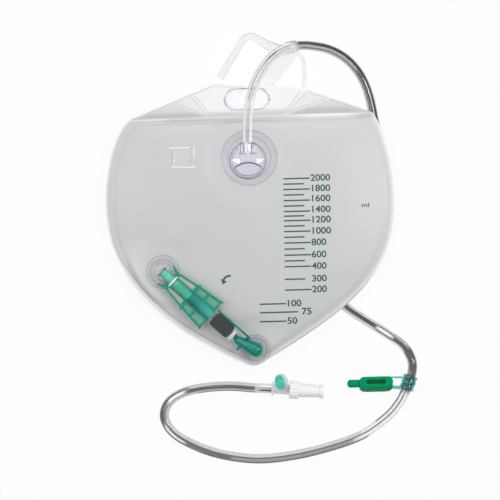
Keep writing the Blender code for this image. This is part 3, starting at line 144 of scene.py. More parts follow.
world = bpy.data.worlds.new("studio")
bpy.context.scene.world = world
world.use_nodes = True
tree = world.node_tree
tree.nodes.clear()
aim = add_node(tree, "ShaderNodeTexCoord")
height = add_node(tree, "ShaderNodeSeparateXYZ", {0: aim.outputs["Generated"]})
dome = add_node(tree, "ShaderNodeValToRGB", {0: height.outputs["Z"]})
dome.color_ramp.elements[0].position = 0.12
dome.color_ramp.elements[0].color = linear(DOME_RIM)
dome.color_ramp.elements[1].position = 0.75
dome.color_ramp.elements[1].color = linear(DOME_TOP)
straight = add_node(tree, "ShaderNodeLightPath")
lit = add_node(tree, "ShaderNodeBackground", {"Color": dome.outputs[0], "Strength": DOME_STRENGTH})
blank = add_node(tree, "ShaderNodeBackground", {"Color": (1, 1, 1, 1), "Strength": 1.0})
sky = add_node(tree, "ShaderNodeMixShader", {0: straight.outputs["Is Camera Ray"], 1: lit.outputs[0],
                                             2: blank.outputs[0]})
add_node(tree, "ShaderNodeOutputWorld", {"Surface": sky.outputs[0]})

for name, place, wide, deep, power in BOX_LIGHTS:
    lamp = bpy.data.lights.new(name, "AREA")
    lamp.shape = "RECTANGLE"
    lamp.size = wide
    lamp.size_y = deep
    lamp.energy = power
    box = bpy.data.objects.new(name, lamp)
    box.location = place
    box.rotation_euler = (Vector((0, -0.02, 0)) - Vector(place)).to_track_quat("-Z", "Y").to_euler()
    bpy.context.scene.collection.objects.link(box)

# Drainage tube
# Extruded clear soft PVC, 9.6 mm over a 7.1 mm bore, from the chamber's socket to the
# connector. It lies where it fell: over the hanger, under the bag and round in front.
TUBE_OD = 0.0096
TUBE_BORE = 0.0071
TUBE_STEP = 0.0030
TUBE_SIDES = 56
FLOOR_Z = TUBE_OD / 2 + 0.0003
SOCKET_Z = 0.0249
CLIP_Z = 0.0075
OVER_HANGER_Z = 0.0203
TUBE_ROUTE = (
    (-0.0010, 0.0456, SOCKET_Z), (-0.0008, 0.0640, SOCKET_Z), (0.0002, 0.0820, 0.0238),
    (0.0028, 0.0990, 0.0225), (0.0082, 0.1150, 0.0215), (0.0162, 0.1295, 0.0210),
    (0.0272, 0.1420, OVER_HANGER_Z), (0.0400, 0.1492, OVER_HANGER_Z), (0.0530, 0.1517, OVER_HANGER_Z),
    (0.0670, 0.1510, 0.0182), (0.0838, 0.1472, 0.0150), (0.0982, 0.1392, 0.0115),
    (0.1100, 0.1272, 0.0084), (0.1180, 0.1129, 0.0066), (0.1228, 0.0978, 0.0054),
    (0.1260, 0.0810, FLOOR_Z), (0.1290, 0.0560, FLOOR_Z), (0.1290, 0.0250, FLOOR_Z),
    (0.1245, -0.0030, FLOOR_Z), (0.1120, -0.0290, FLOOR_Z), (0.0955, -0.0520, FLOOR_Z),
    (0.0835, -0.0740, FLOOR_Z), (0.0825, -0.0940, FLOOR_Z), (0.0925, -0.1095, FLOOR_Z),
    (0.1070, -0.1205, FLOOR_Z), (0.1230, -0.1312, FLOOR_Z), (0.1390, -0.1422, FLOOR_Z),
    (0.1510, -0.1525, 0.0060), (0.1580, -0.1660, 0.0072), (0.1572, -0.1800, CLIP_Z),
    (0.1505, -0.1970, CLIP_Z), (0.1430, -0.2100, 0.0063), (0.1300, -0.2235, FLOOR_Z),
    (0.1048, -0.2398, FLOOR_Z), (0.0725, -0.2505, FLOOR_Z), (0.0363, -0.2580, FLOOR_Z),
    (0.0002, -0.2605, FLOOR_Z), (-0.0357, -0.2550, FLOOR_Z), (-0.0625, -0.2450, FLOOR_Z),
    (-0.0830, -0.2320, FLOOR_Z), (-0.0915, -0.2160, FLOOR_Z), (-0.0860, -0.2010, FLOOR_Z),
    (-0.0710, -0.1920, FLOOR_Z), (-0.0500, -0.1878, 0.0058), (-0.0250, -0.1868, 0.0082),
    (-0.0025, -0.1889, 0.0093), (0.0167, -0.1904, 0.0093),
)


def smooth(points, steps=8):
    """A curve through the points (Catmull-Rom), ends included."""
    points = [Vector(p) for p in points]
    ends = [points[0] * 2 - points[1], *points, points[-1] * 2 - points[-2]]
    out = []
    for a, b, c, d in zip(ends, ends[1:], ends[2:], ends[3:]):
        for step in range(steps):
            t = step / steps
            tangents = (c - a) * t + (a * 2 - b * 5 + c * 4 - d) * t**2 + (b * 3 - a - c * 3 + d) * t**3
            out.append(b + tangents / 2)
    return [*out, points[-1]]


def evenly(points, spacing):
    """Points at an even spacing along a polyline, ends included."""
    reach = [0.0]
    for a, b in zip(points, points[1:]):
        reach.append(reach[-1] + (b - a).length)
    count = round(reach[-1] / spacing)
    out = [points[0]]
    place = 0
    for step in range(1, count):
        target = reach[-1] * step / count
        while reach[place + 1] < target:
            place += 1
        along = (target - reach[place]) / (reach[place + 1] - reach[place])
        out.append(points[place].lerp(points[place + 1], along))
    return [*out, points[-1]]


def piece(name, bm, *materials, body="bag", crease=35, node=None, slot=None):
    """Make a piece from a bmesh, smooth but for its creases, on its body.

    It stands in place of a node, whose part it hides. slot is not used.
    """
    bmesh.ops.recalc_face_normals(bm, faces=bm.faces)
    mesh = bpy.data.meshes.new(name)
    bm.to_mesh(mesh)
    bm.free()
    mesh.shade_smooth()
    mesh.set_sharp_from_angle(angle=radians(crease))
    for material in materials:
        mesh.materials.append(material)
    made = bpy.data.objects.new(name, mesh)
    bpy.context.scene.collection.objects.link(made)
    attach(made, body)
    if node:
        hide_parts(node)
    return made


def sweep(line, section, bm=None):
    """Carry closed sections, one for each point of a line, along it. Points are (across, up)."""
    bm = bm or bmesh.new()
    up = Vector((0, 0, 1))
    rows = []
    for i, centre in enumerate(line):
        heading = (line[min(i + 1, len(line) - 1)] - line[max(i - 1, 0)]).normalized()
        side = heading.cross(up).normalized()
        over = side.cross(heading)
        rows.append([bm.verts.new(centre + side * a + over * b) for a, b in section(i / (len(line) - 1))])
    count = len(rows[0])
    for row, after in zip(rows, rows[1:]):
        for k in range(count):
            m = (k + 1) % count
            bm.faces.new((row[k], row[m], after[m], after[k]))
    return bm, rows


# Clear extruded PVC with die lines along it. Its long light and dark streaks are painted reflections and
# painted highlights of the room; they are drawn on the tube, so they stay in place from any side.
CLEAR_GREY = 226
CLEAR_COVER = 0.42
BORE_TONE = 0.8
BORE_COVER = 0.02
STREAK_FADE = 0.005
# Each painted reflection streak: where it starts and ends along the tube, its place across from -1 on the
# outer side of the bends to 1 on the inner side, half its width, its grey and its cover
PAINTED_STREAKS = (
    (-0.02, 0.126, 0.00, 1.00, 205, 0.30), (-0.02, 0.128, 0.00, 0.30, 196, 0.55),
    (-0.02, 0.128, -0.72, 0.25, 255, 1.00), (-0.02, 0.126, 0.72, 0.25, 255, 1.00),
    (0.050, 0.128, -0.38, 0.09, 150, 0.85), (0.050, 0.128, 0.38, 0.08, 168, 0.80),
    (0.060, 0.132, -0.98, 0.10, 95, 0.92),
    (0.094, 0.112, -0.34, 0.13, 50, 0.96), (0.126, 0.290, 0.00, 0.82, 165, 0.90),
    (0.127, 0.290, -0.44, 0.34, 58, 0.99), (0.130, 0.290, 0.52, 0.10, 80, 0.96),
    (0.160, 0.290, 0.84, 0.14, 212, 0.90), (0.195, 0.290, 0.10, 0.20, 60, 0.99),
    (0.208, 0.290, -0.20, 0.09, 245, 0.98), (0.420, 0.500, 0.00, 1.05, 224, 0.80),
    (0.420, 0.496, -0.04, 0.46, 80, 0.99), (0.490, 0.514, 0.00, 0.85, 200, 0.90),
    (0.488, 0.516, -0.46, 0.14, 98, 0.96), (0.488, 0.516, 0.46, 0.14, 98, 0.96),
    (0.489, 0.514, 0.00, 0.28, 255, 1.00), (0.508, 0.538, -0.74, 0.30, 178, 0.86),
    (0.508, 0.540, 0.06, 0.50, 86, 0.98), (0.526, 0.578, -0.05, 0.90, 84, 0.98),
    (0.572, 0.660, 0.00, 1.05, 236, 0.70), (0.568, 0.620, 0.86, 0.17, 112, 0.94),
    (0.574, 0.640, 0.48, 0.20, 255, 0.98), (0.572, 0.636, 0.08, 0.12, 52, 0.97),
    (0.572, 0.650, -0.34, 0.22, 255, 0.95), (0.640, 0.850, 0.00, 1.05, 200, 0.85),
    (0.634, 0.850, 0.64, 0.44, 222, 0.90), (0.645, 0.800, -0.28, 0.46, 158, 0.94),
    (0.628, 0.845, 0.16, 0.15, 84, 0.97), (0.628, 0.905, -0.88, 0.18, 66, 0.96),
    (0.768, 0.832, -0.16, 0.46, 108, 0.97), (0.816, 0.848, -0.40, 0.24, 255, 1.00),
    (0.814, 0.852, 0.02, 0.13, 74, 0.97), (0.843, 0.960, 0.00, 1.05, 205, 0.85),
    (0.842, 0.872, -0.46, 0.50, 98, 0.97), (0.844, 0.870, 0.22, 0.14, 132, 0.94),
    (0.864, 0.896, -0.56, 0.16, 90, 0.96), (0.865, 0.891, -0.04, 0.28, 255, 1.00),
    (0.864, 0.890, 0.36, 0.10, 126, 0.92), (0.885, 0.963, 0.08, 0.42, 96, 0.98),
    (0.890, 0.963, -0.68, 0.24, 218, 0.90), (0.894, 0.963, 0.60, 0.12, 210, 0.92),
    (0.898, 0.963, 0.88, 0.13, 104, 0.94), (0.959, 0.990, 0.00, 1.05, 216, 0.80),
    (0.959, 0.990, -0.52, 0.22, 255, 1.00), (0.959, 0.990, -0.04, 0.24, 172, 0.94),
    (0.959, 0.990, 0.42, 0.17, 62, 0.97), (0.959, 0.990, 0.80, 0.16, 250, 0.92),
)

clear_pvc, tree = start_material("clear extruded PVC")
at = add_node(tree, "ShaderNodeTexCoord")
# The tone and cover attributes carry the painted reflections and painted highlights of the tube's wall.
tone = add_node(tree, "ShaderNodeAttribute", attribute_name="tone")
cover = add_node(tree, "ShaderNodeAttribute", attribute_name="cover")
haze = add_node(tree, "ShaderNodeTexNoise", {"Vector": at.outputs["Object"], "Scale": 60.0, "Detail": 2.0})
cloud = add_node(tree, "ShaderNodeMapRange", {0: haze.outputs["Fac"], 3: -0.02, 4: 0.02})
shade = add_node(tree, "ShaderNodeMath", {0: tone.outputs["Fac"], 1: cloud.outputs[0]}, operation="ADD")
colour = add_node(tree, "ShaderNodeMix", {"Factor": shade.outputs[0], "A": linear("#000000"),
                                          "B": linear("#FFFFFF")}, data_type="RGBA")
spread = add_node(tree, "ShaderNodeMapRange", {0: haze.outputs["Fac"], 3: 0.06, 4: 0.14})
tube_shader = add_node(tree, "ShaderNodeBsdfPrincipled", {
    "Base Color": colour.outputs["Result"], "Roughness": spread.outputs[0], "IOR": 1.53,
    "Alpha": cover.outputs["Fac"]})
add_node(tree, "ShaderNodeOutputMaterial", {"Surface": tube_shader.outputs[0]})


def streaked(along, place):
    """The linear tone and the cover of the tube's wall with its painted reflections, at a distance along and a
    place across.
    """
    tone = light(CLEAR_GREY / 255)
    cover = CLEAR_COVER
    for start, end, middle, half, grey_level, streak_cover in PAINTED_STREAKS:
        ends = min(along - start, end - along) / STREAK_FADE
        sides = (half * 1.3 - abs(place - middle)) / (half * 0.6)
        weight = min(max(ends, 0.0), 1.0) * min(max(sides, 0.0), 1.0)
        tone += (light(grey_level / 255) - tone) * weight
        cover += (streak_cover - cover) * weight
    return tone, cover


def oval(wide, high, sides):
    """A closed section with the given half width and half height."""
    return [(wide * cos(a), high * sin(a)) for a in (2 * pi * k / sides for k in range(sides))]


tube_line = evenly(smooth(TUBE_ROUTE), TUBE_STEP)
turns = [2 * pi * k / TUBE_SIDES for k in range(TUBE_SIDES)]
bm = bmesh.new()
tone = bm.verts.layers.float.new("tone")
cover = bm.verts.layers.float.new("cover")
bm, outer = sweep(tube_line, lambda share: oval(TUBE_OD / 2, TUBE_OD / 2, TUBE_SIDES), bm)
bm, inner = sweep(tube_line, lambda share: oval(TUBE_BORE / 2, TUBE_BORE / 2, TUBE_SIDES), bm)
for i, row in enumerate(outer):
    for vert, turn in zip(row, turns):
        vert[tone], both_walls = streaked(i * TUBE_STEP, cos(turn))
        vert[cover] = 1 - (1 - both_walls) ** 0.5
for row in inner:
    for vert in row:
        vert[tone] = BORE_TONE
        vert[cover] = BORE_COVER
for end in (0, -1):
    for k in range(TUBE_SIDES):
        m = (k + 1) % TUBE_SIDES
        bm.faces.new((outer[end][k], inner[end][k], inner[end][m], outer[end][m]))
tube = piece("tube", bm, clear_pvc, node="drainage_tube")
tube.visible_shadow = False

# Bag
# Two sheets of calendered soft PVC film, cut to the shape of a shield and welded together
# round their edge. A matt grey emboss keeps them from sticking; the welded rim is clearer.
FILM = 0.00035
HALF_WIDTH = 0.1445
SHOULDER_LEFT = (-0.1185, 0.0820)
SHOULDER_RIGHT = (0.1250, 0.0835)
SIDE_PULL = 0.0300
SHOULDER_PULL = (0.1345, 0.0710)
FLANK_PULLS = (-0.0704, -0.0783)
TIP_PULL_LEFT = (-0.1099, -0.1171)
TIP_PULL_RIGHT = (0.1035, -0.1096)
TIP_CENTRE = (-0.0014, -0.1510)
TIP_RADIUS = 0.016
TIP_FROM = radians(-115)
TIP_TO = radians(-60)
HEADER_TOP_LEFT = (-0.0320, 0.1160)
HEADER_TOP_RIGHT = (0.0570, 0.1095)
TOP_STEPS = 108
CORNER_STEPS = 27
RIM_Z = 0.0110
FRONT_RIM_Z = RIM_Z + FILM
WELD_SHARE = 0.957
GROOVE_SHARE = 0.0045
CROWN_FROM = 0.965
CROWN_TO = 0.500
FRONT_SLACK = 0.00042
BACK_SLACK = 0.0006
LEVEL_MARGIN = 0.007
LEVEL_BLEND = 0.016
FRONT_BASE = 0.0118
FRONT_RISE = 0.0065
FRONT_CENTRE = (0.0, -0.010)
FOOT_CENTRE = (-0.018, 0.002)
FOOT_OUTER = 0.76
FOOT_INNER = 0.44
CHAMBER = (-0.0010, 0.0385)
CHAMBER_FLANGE = (0.0004, 0.0412)
CHAMBER_FLANGE_R = 0.028
CHAMBER_LEVEL = 0.0163
FILM_HOLE = (-0.0010, 0.02945)
FILM_HOLE_R = 0.0050
DOCK = (-0.0887, -0.0706)
DOCK_FLANGE_R = 0.017
DOCK_LEVEL = 0.0166
PORT = (0.00167, -0.15049)
PORT_FLANGE_R = 0.015
PORT_HOLE_R = 0.0064
PORT_LEVEL = 0.0134
VENT = (-0.0672, 0.0438)
VENT_SIDE = 0.0190
HEADER_ROOM_Z = 0.01385
STEM_REACH = (0.004, 0.064)
BOSS = (-0.0004, 0.1000)
BOSS_LENGTH = 0.044
BOSS_WIDTH = 0.020
BOSS_GAP = 0.0006
FILM_DARK = "#707374"
FILM_LIGHT = "#FBFBFC"
# The lines that bound the white insert and the sealed pockets of the header, each downwards
INSERT_LEFT = ((-0.0563, 0.1051), (-0.0442, 0.0887))
INSERT_RIGHT = ((0.0574, 0.1043), (0.0415, 0.0885))
POCKET_LEFT = ((-0.0745, 0.0965), (-0.0510, 0.0861))
POCKET_RIGHT = ((0.0867, 0.0986), (0.0513, 0.0866))


def ease(share):
    """A smooth step from 0 to 1."""
    share = min(max(share, 0.0), 1.0)
    return share * share * (3 - 2 * share)


def mixed(a, b, share):
    """The point at a share of the way from a to b."""
    return tuple(p + (q - p) * share for p, q in zip(a, b))


def bezier(points, steps):
    """Points on a cubic Bezier, without its last one."""
    p0, p1, p2, p3 = (Vector(p) for p in points)
    out = []
    for t in (step / steps for step in range(steps)):
        out.append(tuple(p0 * (1 - t)**3 + p1 * 3 * (1 - t)**2 * t + p2 * 3 * (1 - t) * t * t + p3 * t**3))
    return out


def arc(centre, radius, start, end, steps):
    """Points on an arc, both ends included."""
    angles = (start + (end - start) * i / steps for i in range(steps + 1))
    return [(centre[0] + radius * cos(a), centre[1] + radius * sin(a)) for a in angles]


def pouch_outline():
    """The welded edge, counter-clockwise from the right shoulder along the top weld."""
    tip = arc(TIP_CENTRE, TIP_RADIUS, TIP_FROM, TIP_TO, 14)
    left, right = (-HALF_WIDTH, 0.0), (HALF_WIDTH, 0.0)
    top = [mixed(SHOULDER_RIGHT, SHOULDER_LEFT, i / TOP_STEPS) for i in range(TOP_STEPS)]
    side = bezier((SHOULDER_LEFT, (-SHOULDER_PULL[0], SHOULDER_PULL[1]), (-HALF_WIDTH, SIDE_PULL), left), 34)
    flank = bezier((left, (-HALF_WIDTH, FLANK_PULLS[0]), TIP_PULL_LEFT, tip[0]), 78)
    back = bezier((tip[-1], TIP_PULL_RIGHT, (HALF_WIDTH, FLANK_PULLS[1]), right), 78)
    rise = bezier((right, (HALF_WIDTH, SIDE_PULL), SHOULDER_PULL, SHOULDER_RIGHT), 34)
    return top + side + flank + tip[:-1] + back + rise


def header_edge():
    """The header's free edge from the right shoulder to the left one."""
    middle = TOP_STEPS - 2 * CORNER_STEPS
    right = [mixed(SHOULDER_RIGHT, HEADER_TOP_RIGHT, i / CORNER_STEPS) for i in range(CORNER_STEPS)]
    top = [mixed(HEADER_TOP_RIGHT, HEADER_TOP_LEFT, i / middle) for i in range(middle)]
    left = [mixed(HEADER_TOP_LEFT, SHOULDER_LEFT, i / CORNER_STEPS) for i in range(CORNER_STEPS + 1)]
    return right + top + left


def calm(x, y):
    """0 on and beside each fitting, 1 well away from them."""
    hold = 1.0
    for place, radius in ((CHAMBER_FLANGE, CHAMBER_FLANGE_R), (DOCK, DOCK_FLANGE_R), (PORT, PORT_FLANGE_R),
                          (VENT, VENT_SIDE * 0.75)):
        hold *= ease(((Vector((x, y)) - Vector(place)).length - radius - 0.003) / 0.022)
    return hold


def front_z(x, y, share):
    """The front sheet's top: crowned, level under each fitting, with slack waves between."""
    climb = min(max((CROWN_FROM - share) / (CROWN_FROM - CROWN_TO), 0.0), 1.0)
    z = FRONT_BASE + FRONT_RISE * (1 - (1 - climb) ** 2)
    for place, radius, level in ((CHAMBER_FLANGE, CHAMBER_FLANGE_R, CHAMBER_LEVEL),
                                 (DOCK, DOCK_FLANGE_R, DOCK_LEVEL), (PORT, PORT_FLANGE_R, PORT_LEVEL)):
        away = (Vector((x, y)) - Vector(place)).length
        z += (level - z) * (1 - ease((away - radius - LEVEL_MARGIN) / LEVEL_BLEND))
    slack = noise.noise(Vector((x * 21, y * 16, 0.4))) + 0.5 * noise.noise(Vector((x * 44, y * 37, 2.1)))
    z += FRONT_SLACK * slack * calm(x, y) * ease((0.93 - share) / 0.10)
    rim = ease((share - 0.925) / 0.035)
    z += (FRONT_RIM_Z - z) * rim
    corner = ease((0.02 - x) / 0.04) * ease((-y - 0.02) / 0.04)
    return z - (0.00004 + 0.00005 * corner) * exp(-((share - WELD_SHARE) / GROOVE_SHARE) ** 2)


def back_z(x, y, share):
    """The back sheet's underside: level out to the weld, with a broad foot on the floor."""
    drop = ease((FOOT_OUTER - share) / (FOOT_OUTER - FOOT_INNER))
    z = RIM_Z - FILM
    slack = noise.noise(Vector((x * 30, y * 30, 7.0)))
    z -= BACK_SLACK * slack * ease((0.9 - share) / 0.06) * ease((share - 0.62) / 0.1)
    return z + (0.0001 - z) * drop


def front_header_z(x, share, room):
    """The front sheet over the header: up over the plate, and down to its welded edge."""
    lift = (HEADER_ROOM_Z - FRONT_RIM_Z) * ease(room / 0.012)
    open_edge = ease((x - STEM_REACH[0]) / 0.010) * ease((STEM_REACH[1] - x) / 0.010)
    fall = (1 - open_edge) * ease((share * room - room + 0.0042) / 0.0030)
    return FRONT_RIM_Z + lift * ease(share * room / 0.0080) * (1 - fall)


def grey(level):
    """A grey of 0 to 255 as the share of light film over dark film."""
    dark, pale = linear(FILM_DARK)[0], linear(FILM_LIGHT)[0]
    return (light(max(level, 0.0) / 255) - dark) / (pale - dark)


def across(line, x, y):
    """How far a place lies to the right of a line that runs down to its second point."""
    a, b = Vector(line[0]), Vector(line[1])
    run = (b - a).normalized()
    return run.x * (y - a.y) - run.y * (x - a.x)


def front_grey(x, y, share):
    """Grey of the front film: an even panel, a weld line and a lighter border outside it, with painted light
    and shade.
    """
    away = (Vector((x, y)) - Vector(FRONT_CENTRE)).length
    edge = away * (1 / max(share, 0.01) - 1) if share else HALF_WIDTH
    right = ease((x + 0.02) / 0.06)
    low = ease((-y - 0.030) / 0.040)
    corner = (1 - right) * low
    # Painted light: lighter towards the top and the right, and lifted on the lower left slope near the edge.
    level = 207 + 40 * y + 16 * x + 12 * corner * (1 - ease((edge - 0.010) / 0.040))
    level += 34 * right * max(1 - edge / 0.0046, 0) + 30 * (1 - right) * (1 - ease((edge - 0.0008) / 0.0018))
    line = 0.0026 + 0.0034 * ease((-y - 0.030) / 0.060)
    level += 14 * corner * (1 - ease((edge - line + 0.001) / 0.001))
    # Painted shade: the weld line is darkened, most in the lower left.
    level -= (34 * corner + 9 * right * low) * exp(-((edge - line) / 0.0008) ** 2)
    level -= 78 * right * ease((-y - 0.070) / 0.030) * max(1 - abs(edge - 0.0007) / 0.0008, 0)
    # Painted highlight below the top weld at the right and far left, and painted shade in the band between.
    fold_light_band = ease((y - 0.0770) / 0.0040)
    highlight_mask = ease((x - 0.030) / 0.04) * ease((0.118 - x) / 0.02) + 0.6 * ease((-x - 0.075) / 0.015)
    return level + (10 * highlight_mask - 22 * (1 - highlight_mask)) * fold_light_band


def header_grey(x, y, share, room):
    """Grey of the header: nearly white over the insert, with painted shade towards the weld below."""
    inside = ease(across(INSERT_LEFT, x, y) / 0.0015) * ease(-across(INSERT_RIGHT, x, y) / 0.0015)
    pocket = ease(across(POCKET_LEFT, x, y) / 0.0015) * ease(-across(POCKET_RIGHT, x, y) / 0.0015)
    up = share * room
    # Painted shade darkens the header towards the weld below: the side triangles a little, the insert more.
    outer = 208 + 16 * ease(up / 0.015)
    level = outer + (236 - outer) * pocket + 9 * inside * pocket
    return level - (4 + 26 * inside) * (1 - ease((up - 0.0010) / 0.0075))


def film_sheet(name, shares, centre, rows, z_of, header_z_of, grey_of, header_grey_of):
    """Rings of the outline drawn in towards a centre, with the header's rows on the top weld."""
    outline = pouch_outline()
    edge = header_edge()
    count = len(outline)
    bm = bmesh.new()
    tone = bm.verts.layers.float.new("tone")

    def put(x, y, z, level):
        vert = bm.verts.new((x, y, z))
        vert[tone] = grey(level)
        return vert

    rings = []
    for share in shares:
        places = [mixed(centre, p, share) for p in outline]
        rings.append([put(x, y, z_of(x, y, share), grey_of(x, y, share)) for x, y in places])
    for ring, inside in zip(rings, rings[1:]):
        for i in range(count):
            j = (i + 1) % count
            bm.faces.new((ring[i], ring[j], inside[j], inside[i]))
    middle = put(*centre, z_of(*centre, 0.0), grey_of(*centre, 0.0))
    for i in range(count):
        bm.faces.new((rings[-1][i], rings[-1][(i + 1) % count], middle))
    below = rings[0][:TOP_STEPS + 1]
    right_end, left_end = below[0], below[-1]
    for row in rows:
        above = [right_end]
        for i in range(1, TOP_STEPS):
            x, y = mixed(outline[i], edge[i], row)
            room = (Vector(edge[i]) - Vector(outline[i])).length
            above.append(put(x, y, header_z_of(x, row, room), header_grey_of(x, y, row, room)))
        above.append(left_end)
        for i in range(TOP_STEPS):
            corners = [below[i + 1], below[i], above[i], above[i + 1]]
            face = bm.faces.new(list(dict.fromkeys(corners)))
            face.material_index = 1
        below = above
    bmesh.ops.recalc_face_normals(bm, faces=bm.faces)
    bm.faces.ensure_lookup_table()
    if bm.faces[0].normal.z < 0:
        bmesh.ops.reverse_faces(bm, faces=bm.faces)
    return bm


def film_material(name, cover):
    """Calendered PVC film. Its emboss gives a soft, even sheen, and thickness gives faint clouds."""
    made, tree = start_material(name)
    at = add_node(tree, "ShaderNodeTexCoord")
    # The tone attribute carries the film's grey with its painted light and painted shade.
    tone = add_node(tree, "ShaderNodeAttribute", attribute_name="tone")
    clouds = add_node(tree, "ShaderNodeTexNoise", {
        "Vector": at.outputs["Object"], "Scale": 26.0, "Detail": 2.0})
    drift = add_node(tree, "ShaderNodeMapRange", {0: clouds.outputs["Fac"], 3: -0.02, 4: 0.02})
    shade = add_node(tree, "ShaderNodeMath", {0: tone.outputs["Fac"], 1: drift.outputs[0]}, operation="ADD")
    colour = add_node(tree, "ShaderNodeMix", {"Factor": shade.outputs[0], "A": linear(FILM_DARK),
                                              "B": linear(FILM_LIGHT)}, data_type="RGBA")
    # The real emboss is 0.2 mm fine; it is drawn at 0.9 mm, the finest that shows.
    emboss = add_node(tree, "ShaderNodeTexNoise", {"Vector": at.outputs["Object"], "Scale": 1 / 0.0009,
                                                   "Detail": 1.0})
    grain = add_node(tree, "ShaderNodeBump", {"Height": emboss.outputs["Fac"], "Strength": 0.10,
                                              "Distance": 0.00004})
    gloss = add_node(tree, "ShaderNodeMapRange", {0: clouds.outputs["Fac"], 3: 0.30, 4: 0.40})
    shader = add_node(tree, "ShaderNodeBsdfPrincipled", {
        "Base Color": colour.outputs["Result"], "Roughness": gloss.outputs[0], "Normal": grain.outputs[0],
        "IOR": 1.53, "Specular IOR Level": 0.42, "Alpha": cover})
    add_node(tree, "ShaderNodeOutputMaterial", {"Surface": shader.outputs[0]})
    return made


def shape_of(*steps):
    """Carry out Boolean steps. The first is a bmesh, the others pairs of an operation and a bmesh."""
    parts = []
    for shape in (steps[0], *(tool for _, tool in steps[1:])):
        bmesh.ops.recalc_face_normals(shape, faces=shape.faces)
        mesh = bpy.data.meshes.new("shape")
        shape.to_mesh(mesh)
        shape.free()
        part = bpy.data.objects.new("shape", mesh)
        bpy.context.scene.collection.objects.link(part)
        parts.append(part)
    for (operation, _), tool in zip(steps[1:], parts[1:]):
        modifier = parts[0].modifiers.new(operation, "BOOLEAN")
        modifier.operation = operation
        modifier.object = tool
    bpy.context.view_layer.update()
    whole = bpy.data.meshes.new_from_object(parts[0].evaluated_get(bpy.context.evaluated_depsgraph_get()))
    bm = bmesh.new()
    bm.from_mesh(whole)
    bpy.data.meshes.remove(whole)
    for part in parts:
        bpy.data.meshes.remove(part.data)
    return bm


def softened(points, reach, closed=True, steps=3):
    """An outline or profile with its corners rounded off from a reach before to after each."""
    out = []
    for i, point in enumerate(points):
        if not closed and i in (0, len(points) - 1):
            out.append(tuple(point))
            continue
        corner = Vector(point)
        before = Vector(points[i - 1]) - corner
        after = Vector(points[(i + 1) % len(points)]) - corner
        a = corner + before * min(reach / before.length, 0.45)
        b = corner + after * min(reach / after.length, 0.45)
        for step in range(steps + 1):
            t = step / steps
            out.append(tuple(a * (1 - t)**2 + corner * 2 * t * (1 - t) + b * t * t))
    return out


def turned(profile, place=Matrix(), sides=64, soft=0.0, phase=0.0, flute=None):
    """Turn (along, radius) points about local X. A profile that ends on the axis is solid, any
    other is a closed ring. flute takes (along, angle) and gives a depth."""
    solid = profile[0][1] == 0
    if soft:
        profile = softened(profile, soft, closed=not solid)
    bm = bmesh.new()
    rings = []
    for along, radius in profile:
        if radius == 0:
            rings.append([bm.verts.new(place @ Vector((along, 0, 0)))])
            continue
        ring = []
        for i in range(sides):
            angle = 2 * pi * (i + phase) / sides
            r = radius - (flute(along, angle) if flute else 0)
            ring.append(bm.verts.new(place @ Vector((along, r * cos(angle), r * sin(angle)))))
        rings.append(ring)
    pairs = list(zip(rings, rings[1:]))
    if not solid:
        pairs.append((rings[-1], rings[0]))
    for a, b in pairs:
        for i in range(sides):
            j = (i + 1) % sides
            corners = [a[i % len(a)], a[j % len(a)], b[j % len(b)], b[i % len(b)]]
            bm.faces.new(list(dict.fromkeys(corners)))
    return bm


def rod(start, end, radius, place, **how):
    """A solid round bar along local X, turned as above."""
    return turned(((start, 0), (start, radius), (end, radius), (end, 0)), place, **how)


def slab(outline, low, high, place=Matrix(), edge=0.0):
    """An outline drawn up from low to high, with its rims bevelled."""
    bm = bmesh.new()
    base = [bm.verts.new((x, y, low)) for x, y in outline]
    face = bm.faces.new(base)
    drawn = bmesh.ops.extrude_face_region(bm, geom=[face])
    tops = [v for v in drawn["geom"] if isinstance(v, bmesh.types.BMVert)]
    bmesh.ops.translate(bm, verts=tops, vec=(0, 0, high - low))
    bmesh.ops.recalc_face_normals(bm, faces=bm.faces)
    if edge:
        rims = [e for e in bm.edges if abs(e.verts[0].co.z - e.verts[1].co.z) < 1e-7]
        bmesh.ops.bevel(bm, geom=rims, offset=edge, segments=2, affect="EDGES", clamp_overlap=True)
    bm.transform(place)
    return bm


def together(*shapes):
    """Several bmeshes that don't touch, as one."""
    bm = bmesh.new()
    for shape in shapes:
        mesh = bpy.data.meshes.new("shape")
        shape.to_mesh(mesh)
        shape.free()
        bm.from_mesh(mesh)
        bpy.data.meshes.remove(mesh)
    return bm


def stadium(centre, length, width, steps=16):
    """An outline with straight sides along X and round ends."""
    half = (length - width) / 2
    right = arc((centre[0] + half, centre[1]), width / 2, -pi / 2, pi / 2, steps)
    return right + arc((centre[0] - half, centre[1]), width / 2, pi / 2, 3 * pi / 2, steps)


def oblong(left, low, right, high):
    """A rectangle's outline."""
    return ((left, low), (right, low), (right, high), (left, high))


def standing(x, y, z):
    """A placement for a turned shape whose axis stands up at x, y and starts at z."""
    return Matrix.Translation((x, y, z)) @ Matrix.Rotation(-pi / 2, 4, "Y")


pouch_film = film_material("calendered PVC film", 1.0)
header_film = film_material("PVC film of the header", 1.0)
front_shares = [
    1.0, 0.995, 0.990, 0.985, 0.980, 0.974, 0.968, 0.963, 0.960, 0.957, 0.954, 0.950, 0.945, 0.938, 0.930,
    0.920, 0.908, 0.894, 0.878, 0.860, 0.840, 0.818, 0.794, *(0.77 - 0.03 * i for i in range(25)),
]
header_rows = [0.03, 0.07, 0.11, 0.15, 0.20, *(0.26 + 0.07 * i for i in range(9)), 0.88, 0.93, 0.97, 1.0]
front = film_sheet("bag_front", front_shares, FRONT_CENTRE, header_rows, front_z, front_header_z, front_grey,
                   header_grey)
film_top = BVHTree.FromBMesh(front)


def film_at(x, y):
    """The height of the front film at a place."""
    return film_top.ray_cast(Vector((x, y, 1.0)), Vector((0, 0, -1)))[0].z


